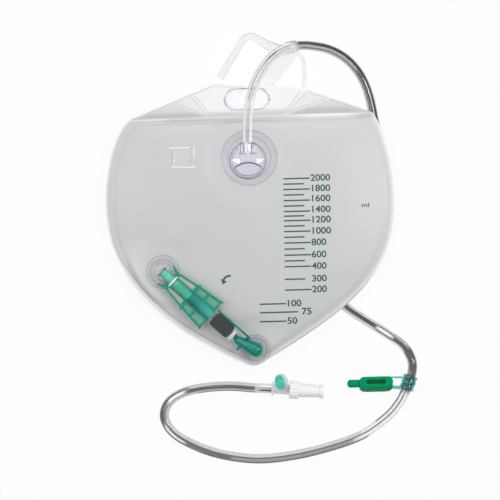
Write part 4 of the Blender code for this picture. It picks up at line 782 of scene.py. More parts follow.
def thickened(bm, thickness):
    """A sheet with its second face, below it for a positive thickness."""
    mesh = bpy.data.meshes.new("sheet")
    bm.to_mesh(mesh)
    bm.free()
    sheet = bpy.data.objects.new("sheet", mesh)
    bpy.context.scene.collection.objects.link(sheet)
    shell = sheet.modifiers.new("film", "SOLIDIFY")
    shell.thickness = thickness
    shell.offset = -1
    bpy.context.view_layer.update()
    whole = bpy.data.meshes.new_from_object(sheet.evaluated_get(bpy.context.evaluated_depsgraph_get()))
    out = bmesh.new()
    out.from_mesh(whole)
    bpy.data.meshes.remove(whole)
    bpy.data.meshes.remove(mesh)
    return out


front = shape_of(
    thickened(front, FILM),
    ("DIFFERENCE", rod(0, 0.02, FILM_HOLE_R, standing(*FILM_HOLE, 0.010))),
    ("DIFFERENCE", rod(0, 0.02, PORT_HOLE_R, standing(*PORT, 0.005))),
    ("DIFFERENCE", slab(stadium(BOSS, BOSS_LENGTH + BOSS_GAP, BOSS_WIDTH + BOSS_GAP), 0.0115, 0.030)),
)
piece("bag_front", front, pouch_film, header_film, node="front_film")
back_shares = [
    1.0, 0.985, 0.968, 0.957, 0.945, 0.93, 0.91, 0.885, 0.86, *(0.83 - 0.03 * i for i in range(20)), 0.2,
]
back = film_sheet("bag_back", back_shares, FOOT_CENTRE, [0.1, 0.3, 0.5, 0.7, 0.9, 1.0], back_z,
                  lambda x, share, room: RIM_Z - FILM, lambda x, y, share: 214,
                  lambda x, y, share, room: 214)
piece("bag_back", thickened(back, -FILM), pouch_film, pouch_film, node="back_film")

# Header insert and welds
# A white PVC sheet stiffens the header between the two films. Heat-sealed beads hold it
# and close the header's edge, and show as pale double lines.
BEAD_WIDTH = 0.0013
BEAD_HEIGHT = 0.00022
HEADER_WELDS = (
    ((-0.0563, 0.1049), (-0.0442, 0.0887)), ((-0.0523, 0.1047), (-0.0407, 0.0891)),
    ((0.0529, 0.1057), (0.0395, 0.0900)), ((0.0574, 0.1041), (0.0415, 0.0885)),
    ((-0.0745, 0.0965), (-0.0510, 0.0861)), ((-0.0715, 0.0985), (-0.0480, 0.0875)),
    ((0.0850, 0.0978), (0.0513, 0.0866)), ((0.0796, 0.0990), (0.0437, 0.0879)),
    ((-0.1080, 0.0846), (-0.0345, 0.1135)),
)


def mottled(name, deep, colour, scale, detail, inputs):
    """Sheet, soft vinyl or ink whose colour drifts between two tones, in patches of 1/scale metres."""
    made, tree = start_material(name)
    at = add_node(tree, "ShaderNodeTexCoord")
    patches = add_node(tree, "ShaderNodeTexNoise", {
        "Vector": at.outputs["Object"], "Scale": scale, "Detail": detail})
    tint = add_node(tree, "ShaderNodeMix", {
        "Factor": patches.outputs["Fac"], "A": linear(deep), "B": linear(colour)}, data_type="RGBA")
    shader = add_node(tree, "ShaderNodeBsdfPrincipled", {"Base Color": tint.outputs["Result"], **inputs})
    add_node(tree, "ShaderNodeOutputMaterial", {"Surface": shader.outputs[0]})
    return made


def even(name, colour, inputs):
    """A weld, a line of painted shade or thin plastic of one even colour."""
    made, tree = start_material(name)
    shader = add_node(tree, "ShaderNodeBsdfPrincipled", {"Base Color": linear(colour), **inputs})
    add_node(tree, "ShaderNodeOutputMaterial", {"Surface": shader.outputs[0]})
    return made


def capped(line, section):
    """A section carried along a line, closed at both ends."""
    bm, rows = sweep(line, section)
    for row in (rows[0], rows[-1]):
        bm.faces.new(row)
    return bm


def bead(start, end, width=BEAD_WIDTH, height=BEAD_HEIGHT, spacing=0.0012):
    """A low half-round bead on the front film between two places."""
    steps = max(int((Vector(end) - Vector(start)).length / spacing), 3)
    places = [mixed(start, end, i / steps) for i in range(steps + 1)]
    line = [Vector((x, y, film_at(x, y) + 0.00002)) for x, y in places]
    half = [(width / 2 * cos(a), height * sin(a)) for a in (pi * k / 6 for k in range(7))]
    return capped(line, lambda share: half)


# The white sheet is matt and opaque, and its faint clouds show as warmer and cooler white.
stiff_white = mottled("white PVC sheet", "#F0F0F4", "#FAFAFB", 60.0, 3.0, {"Roughness": 0.45, "IOR": 1.53})
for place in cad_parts["header_stiffener"].material_slots:
    place.material = stiff_white
# Sealing melts the emboss flat, so the beads are glossier and paler than the film.
seal_film = even("heat-sealed PVC", "#F4F4F5", {"Roughness": 0.18, "IOR": 1.53, "Alpha": 0.75})
piece("header_welds", together(*(bead(a, b) for a, b in HEADER_WELDS)), seal_film, slot="front_film")

# Printed scale
# Screen printed in dark green ink on the front film before it is welded: lines with plain
# numbers of millilitres, and a small curved arrow beside the outlet.
MARK_DROP = 0.0004
MARK_STEP = 0.0007
INK_THICK = 0.00006
LINE_WIDTH = 0.0014
SCALE_X = 0.0335
LONG_LINE = 0.0265
SHORT_LINE = 0.0204
SCALE_MARKS = (
    (2000, 0.0196), (1800, 0.0088), (1600, -0.0023), (1400, -0.0132), (1200, -0.0224), (1000, -0.0332),
    (800, -0.0446), (600, -0.0568), (400, -0.0683), (300, -0.0809), (200, -0.0916),
)
LOW_X = 0.0069
LOW_MARKS = ((100, -0.1051, 0.0262), (75, -0.1136, 0.0380), (50, -0.1226, 0.0265))
DIGIT_HEIGHT = 0.0068
DIGIT_WIDTH = 0.0049
NARROW_ONE = 0.0012
NUMBER_END = 0.0469
SHORT_NUMBER_IN = 0.0050
NUMBER_LIFTS = {1800: 0.0004, 1600: 0.0014, 1400: 0.0014, 1200: 0.0004}
LOW_NUMBER_ENDS = (0.0417, 0.0518, 0.0372)
SCALE_SLANT = 0.0090
FOUR_DIGITS = 1000
SHORT_MARK = 300
HALF_MARKS_ABOVE = 400
UNIT_SIZE = (0.0076, 0.0042)
ARROW_WIDTH = 0.0019
UNIT_PLACE = (0.1113, -0.0110)
ARROW_BAND = ((-0.0212, -0.0762), (-0.0245, -0.0766), (-0.0275, -0.0785), (-0.0287, -0.0806))
ARROW_HEAD = ((-0.0312, -0.0790), (-0.0254, -0.0820), (-0.0294, -0.0848))

# Screen ink lies a little uneven from the mesh, so its green is mottled and half matt.
ink = mottled("dark green screen ink", "#18503E", "#26644F", 900.0, 2.0, {"Roughness": 0.38})


def laid(bm):
    """Lay flat print on the front film."""
    for vert in bm.verts:
        vert.co.z = film_at(vert.co.x, vert.co.y) + INK_THICK
    return bm


def band(points, width):
    """A flat band of even width along a line of places."""
    line = [Vector((*p, 0)) for p in points]
    bm = bmesh.new()
    pairs = []
    for i, point in enumerate(line):
        run = (line[min(i + 1, len(line) - 1)] - line[max(i - 1, 0)]).normalized()
        side = Vector((-run.y, run.x, 0)) * width / 2
        pairs.append((bm.verts.new(point + side), bm.verts.new(point - side)))
    for (a, b), (c, d) in zip(pairs, pairs[1:]):
        bm.faces.new((a, b, d, c))
    return bm


def mark(x, y, length):
    """One line of the scale, to the right of a place."""
    steps = round(length / MARK_STEP)
    return band([(x + length * i / steps, y - MARK_DROP) for i in range(steps + 1)], LINE_WIDTH)


def words(text, x, y, width, high):
    """Letters or digits drawn in a box of the given size whose lower left corner is at x, y."""
    font = bpy.data.curves.new("print", "FONT")
    font.body = str(text)
    font.offset = 0.020
    lettering = bpy.data.objects.new("print", font)
    bpy.context.scene.collection.objects.link(lettering)
    bpy.context.view_layer.update()
    mesh = bpy.data.meshes.new_from_object(lettering.evaluated_get(bpy.context.evaluated_depsgraph_get()))
    bm = bmesh.new()
    bm.from_mesh(mesh)
    bpy.data.meshes.remove(mesh)
    bpy.data.curves.remove(font)
    xs = [v.co.x for v in bm.verts]
    ys = [v.co.y for v in bm.verts]
    fit = Matrix.Diagonal((width / (max(xs) - min(xs)), high / (max(ys) - min(ys)), 1, 1))
    home = Matrix.Translation((-min(xs), -min(ys), 0))
    bm.transform(Matrix.Translation((x, y, 0)) @ fit @ home)
    return bm


def number(value, x, y):
    """A number centred on the height y that ends at x. A one is narrower than other digits."""
    text = str(value)
    width = DIGIT_WIDTH * len(text) - NARROW_ONE * text.count("1")
    return words(text, x - width, y - DIGIT_HEIGHT / 2, width, DIGIT_HEIGHT)


printed = []
for (value, y), (_, next_y) in zip(SCALE_MARKS, [*SCALE_MARKS[1:], (None, None)]):
    length = SHORT_LINE if value == SHORT_MARK else LONG_LINE
    x = SCALE_X + SCALE_SLANT * y
    printed.append(mark(x, y, length))
    end = x + NUMBER_END - (0 if value >= FOUR_DIGITS else SHORT_NUMBER_IN)
    printed.append(number(value, end, y + NUMBER_LIFTS.get(value, 0)))
    if value > HALF_MARKS_ABOVE:
        printed.append(mark(x, (y + next_y) / 2, SHORT_LINE))
for (value, y, length), end in zip(LOW_MARKS, LOW_NUMBER_ENDS):
    printed.append(mark(LOW_X, y, length))
    printed.append(number(value, LOW_X + end, y))
printed.append(words("ml", *UNIT_PLACE, *UNIT_SIZE))
printed.append(band([tuple(p) for p in evenly(smooth(ARROW_BAND), 0.0008)], ARROW_WIDTH))
bm = bmesh.new()
bm.faces.new([bm.verts.new((x, y, 0)) for x, y in ARROW_HEAD])
printed.append(bm)
piece("printed_scale", thickened(laid(together(*printed)), INK_THICK), ink, slot="front_film")

# Hanger
# One clear polypropylene moulding: a thin plate with its oval boss inside the header, then
# stem, ribbed hook arm and leg outside it, and a snap clip that holds the tube.
PLATE_Z = 0.0123
HANGER_TOP = 0.0133
HANGER_LOW = 0.0087
HOOK_POINTS = (
    (0.0410, 0.1440), (0.0320, 0.1485), (0.0215, 0.1535), (0.0110, 0.1602), (0.0045, 0.1628),
    (-0.0030, 0.1590), (-0.0130, 0.1435), (-0.0268, 0.1217),
)
HOOK_TOP = 0.167
HOOK_ROOT = 0.0130
HOOK_WIDTH = 0.0082
HOOK_TAPER = 0.45
HOOK_FLOOR = 0.0017
HOOK_LIP = 0.0011
LIP_DRAFT = 0.0004
STEM_OUTLINE = (
    (0.0100, 0.1139), (0.0262, 0.1127), (0.0490, 0.1384), (0.0510, 0.1470), (0.0420, 0.1515),
    (0.0250, 0.1490), (0.0212, 0.1440),
)
LEG_POINTS = ((0.0470, 0.1455), (0.0530, 0.1432), (0.0568, 0.1370), (0.0577, 0.1240), (0.0573, 0.1110))
LEG_WIDTH = 0.0045
PLATE_OUTLINE = (
    (-0.0265, 0.0892), (0.0265, 0.0890), (0.0480, 0.0960), (0.0592, 0.1040), (0.0594, 0.1180),
    (0.0560, 0.1180), (0.0530, 0.1070), (0.0262, 0.1090), (0.0290, 0.1205), (0.0140, 0.1210),
    (0.0100, 0.1120), (-0.0265, 0.1130),
)
PLATE_EDGE_Y = 0.111
CLIP_AT = (0.045617, 0.149731, 0.020202)
CLIP_HEADING = (0.0130, 0.0027)
CLIP_LENGTH = 0.011
CLIP_BORE = 0.0052
CLIP_WALL = 0.0014
CLIP_MOUTH = 0.0062
BOSS_TOP = 0.0158
BOSS_FLOOR = 0.0138
BOSS_RIM = 0.0022


def strap(line, width):
    """The outline of a band along a centre line. width takes the share of the way along."""
    left, right = [], []
    for i, point in enumerate(line):
        ahead = line[min(i + 1, len(line) - 1)] - line[max(i - 1, 0)]
        side = Vector((-ahead.y, ahead.x)).normalized() * width(i / (len(line) - 1)) / 2
        left.append(tuple(point.xy + side))
        right.append(tuple(point.xy - side))
    return right + left[::-1]


def hook_width(share):
    """The hook arm narrows from its root over the first part of its length."""
    return HOOK_ROOT + (HOOK_WIDTH - HOOK_ROOT) * min(share / HOOK_TAPER, 1.0)


def hook_section(share):
    """A channel that is open upwards, with a lip along each side."""
    half = hook_width(share) / 2
    high = (HANGER_TOP - HANGER_LOW) / 2
    floor_z = high - HOOK_FLOOR
    lip = half - HOOK_LIP
    foot = lip - LIP_DRAFT
    outline = [(half, -high), (half, high), (lip, high), (foot, floor_z),
               (-foot, floor_z), (-lip, high), (-half, high), (-half, -high)]
    return softened(outline, 0.0006, steps=2)


hook_line = evenly(smooth([(x, y, 0) for x, y in HOOK_POINTS], 12), 0.0018)
hook_shift = HOOK_TOP - max(y for _, y in strap(hook_line, hook_width))
hook_line = [p + Vector((0, hook_shift, (HANGER_LOW + HANGER_TOP) / 2)) for p in hook_line]
hook = capped(hook_line, hook_section)
leg_line = evenly(smooth([(x, y, 0) for x, y in LEG_POINTS], 8), 0.002)
clip_angle = Vector((1, 0)).angle_signed(Vector(CLIP_HEADING)) * -1
clip_turn = Matrix.Translation(CLIP_AT) @ Matrix.Rotation(clip_angle, 4, "Z")
clip_half = CLIP_LENGTH / 2
mouth = oblong(-0.01, -CLIP_MOUTH / 2, 0.01, CLIP_MOUTH / 2)
post = Matrix.Translation((*CLIP_AT[:2], 0)) @ Matrix.Rotation(radians(11), 4, "Z")
hanger_shape = shape_of(
    slab(softened(PLATE_OUTLINE, 0.0015), PLATE_Z, HANGER_TOP, edge=0.0002),
    ("UNION", slab(stadium(BOSS, BOSS_LENGTH, BOSS_WIDTH), PLATE_Z + 0.0004, BOSS_TOP, edge=0.0006)),
    ("DIFFERENCE", slab(stadium(BOSS, BOSS_LENGTH - 2 * BOSS_RIM, BOSS_WIDTH - 2 * BOSS_RIM),
                        BOSS_FLOOR, 0.0200)),
    ("UNION", slab(softened(STEM_OUTLINE, 0.003), HANGER_LOW + 0.0004, HANGER_TOP - 0.0004, edge=0.0008)),
    ("UNION", hook),
    ("UNION", slab(strap(leg_line, lambda share: LEG_WIDTH), HANGER_LOW + 0.0006, HANGER_TOP - 0.0002,
                   edge=0.0009)),
    ("UNION", rod(-clip_half, clip_half, CLIP_BORE + CLIP_WALL, clip_turn, sides=56, soft=0.0004)),
    ("UNION", slab(oblong(-clip_half, -0.0045, clip_half, 0.0045), 0.0110, 0.0176, post)),
    ("DIFFERENCE", rod(-0.02, 0.02, CLIP_BORE, clip_turn, sides=56, phase=0.37)),
    ("DIFFERENCE", slab(mouth, 0.0, 0.014, clip_turn)),
)


def hazed(name, colour, scale, low, high, ior):
    """Clear moulded plastic whose roughness drifts from low to high in patches of 1/scale metres."""
    made, tree = start_material(name)
    at = add_node(tree, "ShaderNodeTexCoord")
    haze = add_node(tree, "ShaderNodeTexNoise", {
        "Vector": at.outputs["Object"], "Scale": scale, "Detail": 2.0})
    spread = add_node(tree, "ShaderNodeMapRange", {0: haze.outputs["Fac"], 3: low, 4: high})
    shader = add_node(tree, "ShaderNodeBsdfPrincipled", {
        "Base Color": linear(colour), "Roughness": spread.outputs[0], "IOR": ior, "Transmission Weight": 1.0})
    add_node(tree, "ShaderNodeOutputMaterial", {"Surface": shader.outputs[0]})
    return made


# Clear moulded polypropylene: see-through with a slight milky haze, so its edges and ribs
# read as soft grey lines.
clear_pp = hazed("clear moulded polypropylene", "#F3F4F7", 120.0, 0.05, 0.16, 1.49)
# Plate and boss lie flat on the white insert, so the boss shows only as a faint oval line.
boss_pp = even("clear polypropylene plate on its insert", "#EDF0F2", {
    "Roughness": 0.22, "IOR": 1.20, "Alpha": 0.13})
for face in hanger_shape.faces:
    spot = face.calc_center_median()
    if spot.y < PLATE_EDGE_Y:
        face.material_index = 1
hanger = piece("hanger_moulding", hanger_shape, clear_pp, boss_pp, node="hanger")
hanger.visible_shadow = False

# Anti-reflux chamber
# A rigid clear vinyl dome with a block for the tube, glued to a soft clear flange that is
# welded on the film. A half-moon flap inside it lets fluid in and not out.
DOME_BASE = 0.0177
DOME_R = 0.0177
DOME_HEIGHT = 0.0132
DOME_WALL = 0.0012
DOME_SHAPE = ((1.0, 0.0), (1.0, 0.30), (0.995, 0.48), (0.96, 0.68), (0.86, 0.84), (0.68, 0.94), (0.42, 0.99))
FLANGE_Z = 0.0166
FLANGE_THICK = 0.0008
BLOCK_WIDTH = 0.0184
BLOCK_DEPTH = 0.0120
BLOCK_HEIGHT = 0.0127
TUBE_HOLE = 0.0052
TUBE_SEAT = 0.0109
FLANGE_RIB_R = 0.0240
CHAMBER_RINGS = ((0.0215, 0.0007), (0.0276, 0.0006))
# Left, low, right and high of each painted shade stroke, from the foot of the tube's block
SOCKET_SHADE_STROKES = (
    (-0.0092, 0.0004, -0.0046, 0.0014), (0.0026, 0.0004, 0.0086, 0.0014), (0.0012, 0.0104, 0.0062, 0.0110),
    (-0.0074, 0.0020, -0.0068, 0.0112), (0.0060, 0.0060, 0.0066, 0.0110),
)
FLAP_R = 0.0158
FLAP_EDGE_R = 0.021
FLAP_CREST = 0.0023

# Clear rigid vinyl: glass clear with a cool lavender cast that deepens in the steep walls.
clear_rigid = hazed("clear rigid vinyl", "#F5F4F9", 150.0, 0.02, 0.08, 1.54)
# Soft clear vinyl: hazier than the dome, welded flat, so that the grey film shows through.
clear_soft = mottled("clear soft vinyl", "#C6C4D0", "#D2D1DA", 140.0, 2.0, {
    "Roughness": 0.30, "IOR": 1.53, "Alpha": 0.10})
# The flap is thin calendered film, seen as a pale half-moon through the dome.
flap_film = even("flap of thin grey film", "#CBCAD2", {"Roughness": 0.30, "IOR": 1.50, "Alpha": 0.90})
# The flap's cut edge is drawn as a dark curved line: a painted shadow of the dome along it.
flap_edge_shadow = even("painted shadow along the flap's edge", "#4B4756", {"Roughness": 0.35})

rim = CHAMBER_FLANGE_R
flange_profile = (
    (0, 0), (0, rim), (FLANGE_THICK * 0.45, rim), (FLANGE_THICK, rim - 0.0009),
    (FLANGE_THICK, FLANGE_RIB_R + 0.0008), (FLANGE_THICK + 0.00025, FLANGE_RIB_R),
    (FLANGE_THICK, FLANGE_RIB_R - 0.0008), (FLANGE_THICK, 0),
)
flange_hole = rod(-0.001, 0.003, FILM_HOLE_R, standing(*FILM_HOLE, FLANGE_Z), phase=0.37)
flange_disc = turned(flange_profile, standing(*CHAMBER_FLANGE, FLANGE_Z), sides=120, soft=0.0002)
piece("chamber_weld_flange", shape_of(flange_disc, ("DIFFERENCE", flange_hole)), clear_soft,
      node="chamber_flange")

# Weld lines: a narrow ring that is a little darker than the film round it.
press_line = even("pressed weld line in vinyl", "#96939F", {"Roughness": 0.25, "IOR": 1.53, "Alpha": 0.20})
# Painted shade: a clear, thin violet line round the foot of the dome, drawn as the dome's wall looks there.
violet_shade_line = even("painted violet shade line", "#7A7299", {"Roughness": 0.20, "IOR": 1.53, "Alpha": 0.60})


def ring(centre, level, radius, width):
    """A narrow flat ring round a centre, level with what it is pressed into."""
    profile = ((0, radius - width / 2), (0, radius + width / 2), (0.0002, radius + width / 2),
               (0.0002, radius - width / 2))
    return turned(profile, standing(*centre, level), sides=120)


chamber_top = FLANGE_Z + FLANGE_THICK + 0.0003
chamber_rings = (ring(CHAMBER_FLANGE, chamber_top, radius, width) for radius, width in CHAMBER_RINGS)
piece("chamber_weld_rings", together(*chamber_rings), press_line, slot="chamber_flange")
x, y = CHAMBER
piece("chamber_foot_shade_line", ring(CHAMBER, chamber_top, DOME_R + 0.0002, 0.0008), violet_shade_line,
      slot="chamber_dome")
dome_curve = [(p.y, p.x) for p in smooth([(out, up) for out, up in DOME_SHAPE], 4)]
outer_dome = [(0, 0), *((DOME_HEIGHT * up, DOME_R * out) for up, out in dome_curve), (DOME_HEIGHT, 0)]
inner_r = DOME_R - DOME_WALL
inner_h = DOME_HEIGHT - DOME_WALL
inner_dome = [(-0.001, 0), (-0.001, inner_r), *((inner_h * up, inner_r * out) for up, out in dome_curve[1:]),
              (inner_h, 0)]
mouth_y = y + DOME_R
foot = mouth_y - BLOCK_DEPTH
block_outline = softened(oblong(x - BLOCK_WIDTH / 2, foot, x + BLOCK_WIDTH / 2, mouth_y), 0.0014)
into = Matrix.Translation((x, mouth_y, SOCKET_Z)) @ Matrix.Rotation(-pi / 2, 4, "Z")
socket_bore = (
    (-0.01, 0), (-0.01, TUBE_HOLE), (TUBE_SEAT, TUBE_HOLE), (TUBE_SEAT, TUBE_BORE / 2),
    (0.020, TUBE_BORE / 2), (0.020, 0),
)
dome_shape = shape_of(
    turned(outer_dome, standing(x, y, DOME_BASE), sides=112),
    ("DIFFERENCE", turned(inner_dome, standing(x, y, DOME_BASE), sides=112, phase=0.5)),
    ("UNION", slab(block_outline, DOME_BASE + 0.0002, DOME_BASE + BLOCK_HEIGHT, edge=0.0007)),
    ("DIFFERENCE", turned(socket_bore, into, sides=56, phase=0.37)),
)
chamber = piece("chamber_moulding", dome_shape, clear_rigid, node="chamber_dome")
chamber.visible_shadow = False

# Painted shade: short violet strokes at the corners of the tube's block, where the clear vinyl looks dark
block_top = DOME_BASE + BLOCK_HEIGHT + 0.0001
ribs = []
for left, low, right, high in SOCKET_SHADE_STROKES:
    stroke_outline = oblong(x + left, foot + low, x + right, foot + high)
    ribs.append(slab(stroke_outline, block_top, block_top + 0.0002))
piece("socket_corner_shade_strokes", together(*ribs), violet_shade_line, slot="chamber_dome")

edge_centre = (0.0, -FLAP_CREST - FLAP_EDGE_R)
upper = arc(edge_centre, FLAP_EDGE_R, pi / 2 - 0.70, pi / 2 + 0.70, 40)
lower = arc((0, 0), FLAP_R, pi + 0.47, 2 * pi - 0.47, 60)
upper = [p for p in upper if Vector(p).length < FLAP_R - 0.0002]
flap_outline = [(x + a, y + b) for a, b in lower + upper]
flap = slab(flap_outline, DOME_BASE + 0.0001, DOME_BASE + 0.0005)
piece("flap", flap, flap_film, node="reflux_flap")
# Painted shadow: a dark rib along the flap's cut edge.
edge_line = [Vector((x + a, y + b, DOME_BASE + 0.0008)) for a, b in upper]
flap_shadow_line = capped(edge_line, lambda share: oval(0.00062, 0.0004, 10))
piece("flap_edge_shadow", flap_shadow_line, flap_edge_shadow, slot="reflux_flap")

# Vent
# A square of hydrophobic vent film in a welded frame, which lets air out of the pouch and
# keeps fluid in. It is milky white, with a glossy raised frame.
VENT_FRAME = 0.0016


def vent_pad(side, rise, hollow):
    """A thin square that follows the film, with its middle lower by hollow."""
    steps = 30
    bm = bmesh.new()
    grid = []
    for i in range(steps + 1):
        row = []
        for j in range(steps + 1):
            a, b = (side * (k / steps - 0.5) for k in (j, i))
            rim = (side / 2 - max(abs(a), abs(b))) / VENT_FRAME
            lip = ease(rim * 2) * (1 - ease((rim - 1.0) * 1.6))
            x, y = VENT[0] + a, VENT[1] + b
            z = film_at(x, y) + 0.00005 + rise * ease(rim * 3) * (1 - hollow) + rise * hollow * lip
            row.append(bm.verts.new((x, y, z)))
        grid.append(row)
    for low, high in zip(grid, grid[1:]):
        for j in range(steps):
            bm.faces.new((low[j], low[j + 1], high[j + 1], high[j]))
    return thickened(bm, 0.0002)


# Vent film: a milky, slightly mottled sheet that lets a little of the grey film through.
vent_film = mottled("milky vent film", "#DCDCDD", "#E8E8E8", 420.0, 3.0, {
    "Roughness": 0.20, "IOR": 1.50, "Alpha": 0.85})
piece("vent_pad", vent_pad(VENT_SIDE, 0.0008, 0.8), vent_film, node="vent_patch")
# The weld's melted beads are smooth and glossy. Their pure white, and the wider beads on the top,
# bottom and right, are painted highlight along the frame.
vent_weld_and_highlight = even("glossy white weld of the vent with painted highlight", "#FFFFFF", {"Roughness": 0.18, "IOR": 1.50})
a, b = VENT[0] - VENT_SIDE / 2, VENT[1] - VENT_SIDE / 2
c, d = VENT[0] + VENT_SIDE / 2, VENT[1] + VENT_SIDE / 2
vent_lines = (
    ((a - 0.0030, d - 0.0008), (c - 0.0010, d - 0.0006), 0.0019),
    ((a - 0.001, b - 0.0006), (c + 0.0040, b - 0.0014), 0.0019),
    ((c + 0.0024, b + 0.009), (c + 0.0028, d - 0.001), 0.0019),
    ((a + 0.0010, b + 0.002), (a + 0.0010, d - 0.002), 0.0006),
)
vent_welds = [bead(start, end, width=wide, height=0.0012) for start, end, wide in vent_lines]
piece("vent_frame_weld", together(*vent_welds), vent_weld_and_highlight, slot="vent_patch")

# Outlet port and elbow
# A soft clear port flange is welded at the bag's tip. A glossy teal elbow of rigid plastic
# stands on it, drop shaped, with a pin on each side for the lever.
OUTLET_TURN = radians(-43)
OUTLET = Matrix.Translation((-0.0900, -0.0702, 0.0248)) @ Matrix.Rotation(OUTLET_TURN, 4, "Z")
PORT_Z = 0.0137
PORT_FLANGE = 0.0012
PORT_RIB_R = 0.0115
ELBOW_NECK = (0.1028, -0.0007)
ELBOW_NECK_R = 0.0043
ELBOW_BODY_R = 0.0076
ELBOW_END = (0.1218, 0.0038)
PIVOT = 0.1080
PIN_R = 0.0013
PIN_REACH = 0.0089
SPIGOT_FROM = 0.0934
SPIGOT_R = 0.0026
ELBOW_FOOT = 0.0111
ELBOW_FOOT_R = 0.0060


def moulded(name, colour, deep, rough, clear=0.0, cover=1.0, ior=1.50, marks=220.0, shine=0.5):
    """Injection moulded plastic in a colour, with deeper flow marks of about 1/marks metres."""
    made, tree = start_material(name)
    at = add_node(tree, "ShaderNodeTexCoord")
    flow = add_node(tree, "ShaderNodeTexNoise", {
        "Vector": at.outputs["Object"], "Scale": marks, "Detail": 3.0})
    tint = add_node(tree, "ShaderNodeMix", {
        "Factor": flow.outputs["Fac"], "A": linear(deep), "B": linear(colour)}, data_type="RGBA")
    gloss = add_node(tree, "ShaderNodeMapRange", {0: flow.outputs["Fac"], 3: rough * 0.8, 4: rough * 1.2})
    # A mould grain is too fine to show here; it is drawn at 0.7 mm, the finest that does.
    grain = add_node(tree, "ShaderNodeTexNoise", {"Vector": at.outputs["Object"], "Scale": 1 / 0.0007})
    bump = add_node(tree, "ShaderNodeBump", {"Height": grain.outputs["Fac"], "Strength": 0.12,
                                             "Distance": 0.00003})
    shader = add_node(tree, "ShaderNodeBsdfPrincipled", {
        "Base Color": tint.outputs["Result"], "Roughness": gloss.outputs[0], "Normal": bump.outputs[0],
        "IOR": ior, "Specular IOR Level": shine, "Transmission Weight": clear, "Alpha": cover})
    add_node(tree, "ShaderNodeOutputMaterial", {"Surface": shader.outputs[0]})
    return made


# Soft port vinyl: clear and welded flat, so it lays only a light veil on the grey film.
clear_port = moulded("soft clear port vinyl", "#D8D8DA", "#CCCDCF", 0.22, cover=0.12)
# Rigid teal plastic from a polished mould: deep and opaque, with sharp small highlights.
teal = moulded("glossy teal plastic", "#008F80", "#00766A", 0.08)
port_profile = (
    (0, PORT_HOLE_R), (0, PORT_FLANGE_R), (PORT_FLANGE * 0.4, PORT_FLANGE_R),
    (PORT_FLANGE * 0.9, PORT_FLANGE_R - 0.0012), (PORT_FLANGE * 0.9, PORT_RIB_R + 0.0010),
    (PORT_FLANGE + 0.0006, PORT_RIB_R), (PORT_FLANGE * 0.8, PORT_RIB_R - 0.0010),
    (PORT_FLANGE * 0.8, PORT_HOLE_R),
)
piece("port_weld_flange", turned(port_profile, standing(*PORT, PORT_Z), sides=96, soft=0.0003), clear_port,
      node="port_flange")
port_top = PORT_Z + PORT_FLANGE + 0.0007
port_rings = (ring(PORT, port_top, 0.0147, 0.0006), ring(PORT, port_top, PORT_RIB_R, 0.0011))
piece("port_weld_rings", together(*port_rings), press_line, slot="port_flange")

neck = OUTLET @ Vector((*ELBOW_NECK, 0))
end = OUTLET @ Vector((*ELBOW_END, 0))
run = end - neck
reach = run.length
lean = pi / 2 + (ELBOW_BODY_R - ELBOW_NECK_R) / reach
neck_turns = [(pi - lean) * i / 8 for i in range(1, 9)]
body_turns = [pi - lean + lean * i / 16 for i in range(16)]
drop = [(-ELBOW_NECK_R, 0)]
drop += [(-ELBOW_NECK_R * cos(a), ELBOW_NECK_R * sin(a)) for a in neck_turns]
drop += [(reach - ELBOW_BODY_R * cos(a), ELBOW_BODY_R * sin(a)) for a in body_turns]
drop.append((reach + ELBOW_BODY_R, 0))
along_drop = Matrix.Translation(neck) @ Matrix.Rotation(Vector((1, 0)).angle_signed(run.xy) * -1, 4, "Z")
across_pins = OUTLET @ Matrix.Translation((PIVOT, 0, 0)) @ Matrix.Rotation(pi / 2, 4, "Z")
elbow_shape = shape_of(
    turned(drop, along_drop, sides=72),
    ("UNION", rod(0, ELBOW_FOOT, ELBOW_FOOT_R, standing(*PORT, PORT_Z), sides=56, phase=0.3)),
    ("UNION", rod(-PIN_REACH, PIN_REACH, PIN_R, across_pins, sides=32, soft=0.0003)),
    ("UNION", rod(SPIGOT_FROM, PIVOT, SPIGOT_R, OUTLET, sides=40, phase=0.2, soft=0.0004)),
)
piece("elbow", elbow_shape, teal, node="outlet_elbow", crease=50)

# Drain tube and its ring
# A short length of soft clear tube runs from the elbow to the outlet, under the lever's
# pad. A white moulded spool stands round it next to the elbow.
DRAIN_R = 0.0042
DRAIN_BORE = 0.0029
DRAIN_START = 0.0565
DRAIN_END = 0.0982
SPOOL_FROM = 0.0934
SPOOL_R = 0.0074

# Clear soft tube: it bends light like glass, so mainly its rims and wall show.
clear_drain = even("clear soft drain tube", "#E8EBEC", {
    "Roughness": 0.10, "IOR": 1.50, "Transmission Weight": 0.9})
rows = [DRAIN_START + (DRAIN_END - DRAIN_START) * i / 24 for i in range(25)]
drain_profile = [(along, DRAIN_R) for along in rows] + [(along, DRAIN_BORE) for along in rows[::-1]]
drain = piece("drain_hose", turned(drain_profile, OUTLET, sides=48), clear_drain, node="drain_tube")
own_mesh(drain)

# Moulded polyethylene: waxy white, with a soft broad gleam on its rims.
white_ring = moulded("white moulded polyethylene", "#FFFFFF", "#F6F7F8", 0.22)
spool_profile = (
    (0, DRAIN_R + 0.0002), (0, SPOOL_R), (0.0009, SPOOL_R), (0.0011, SPOOL_R - 0.0024),
    (0.0016, SPOOL_R - 0.0024), (0.0019, SPOOL_R), (0.0028, SPOOL_R), (0.0028, DRAIN_R + 0.0002),
)
spool_place = OUTLET @ Matrix.Translation((SPOOL_FROM, 0, 0))
piece("white_spool", turned(spool_profile, spool_place, sides=72, soft=0.0003), white_ring,
      node="tube_stop")

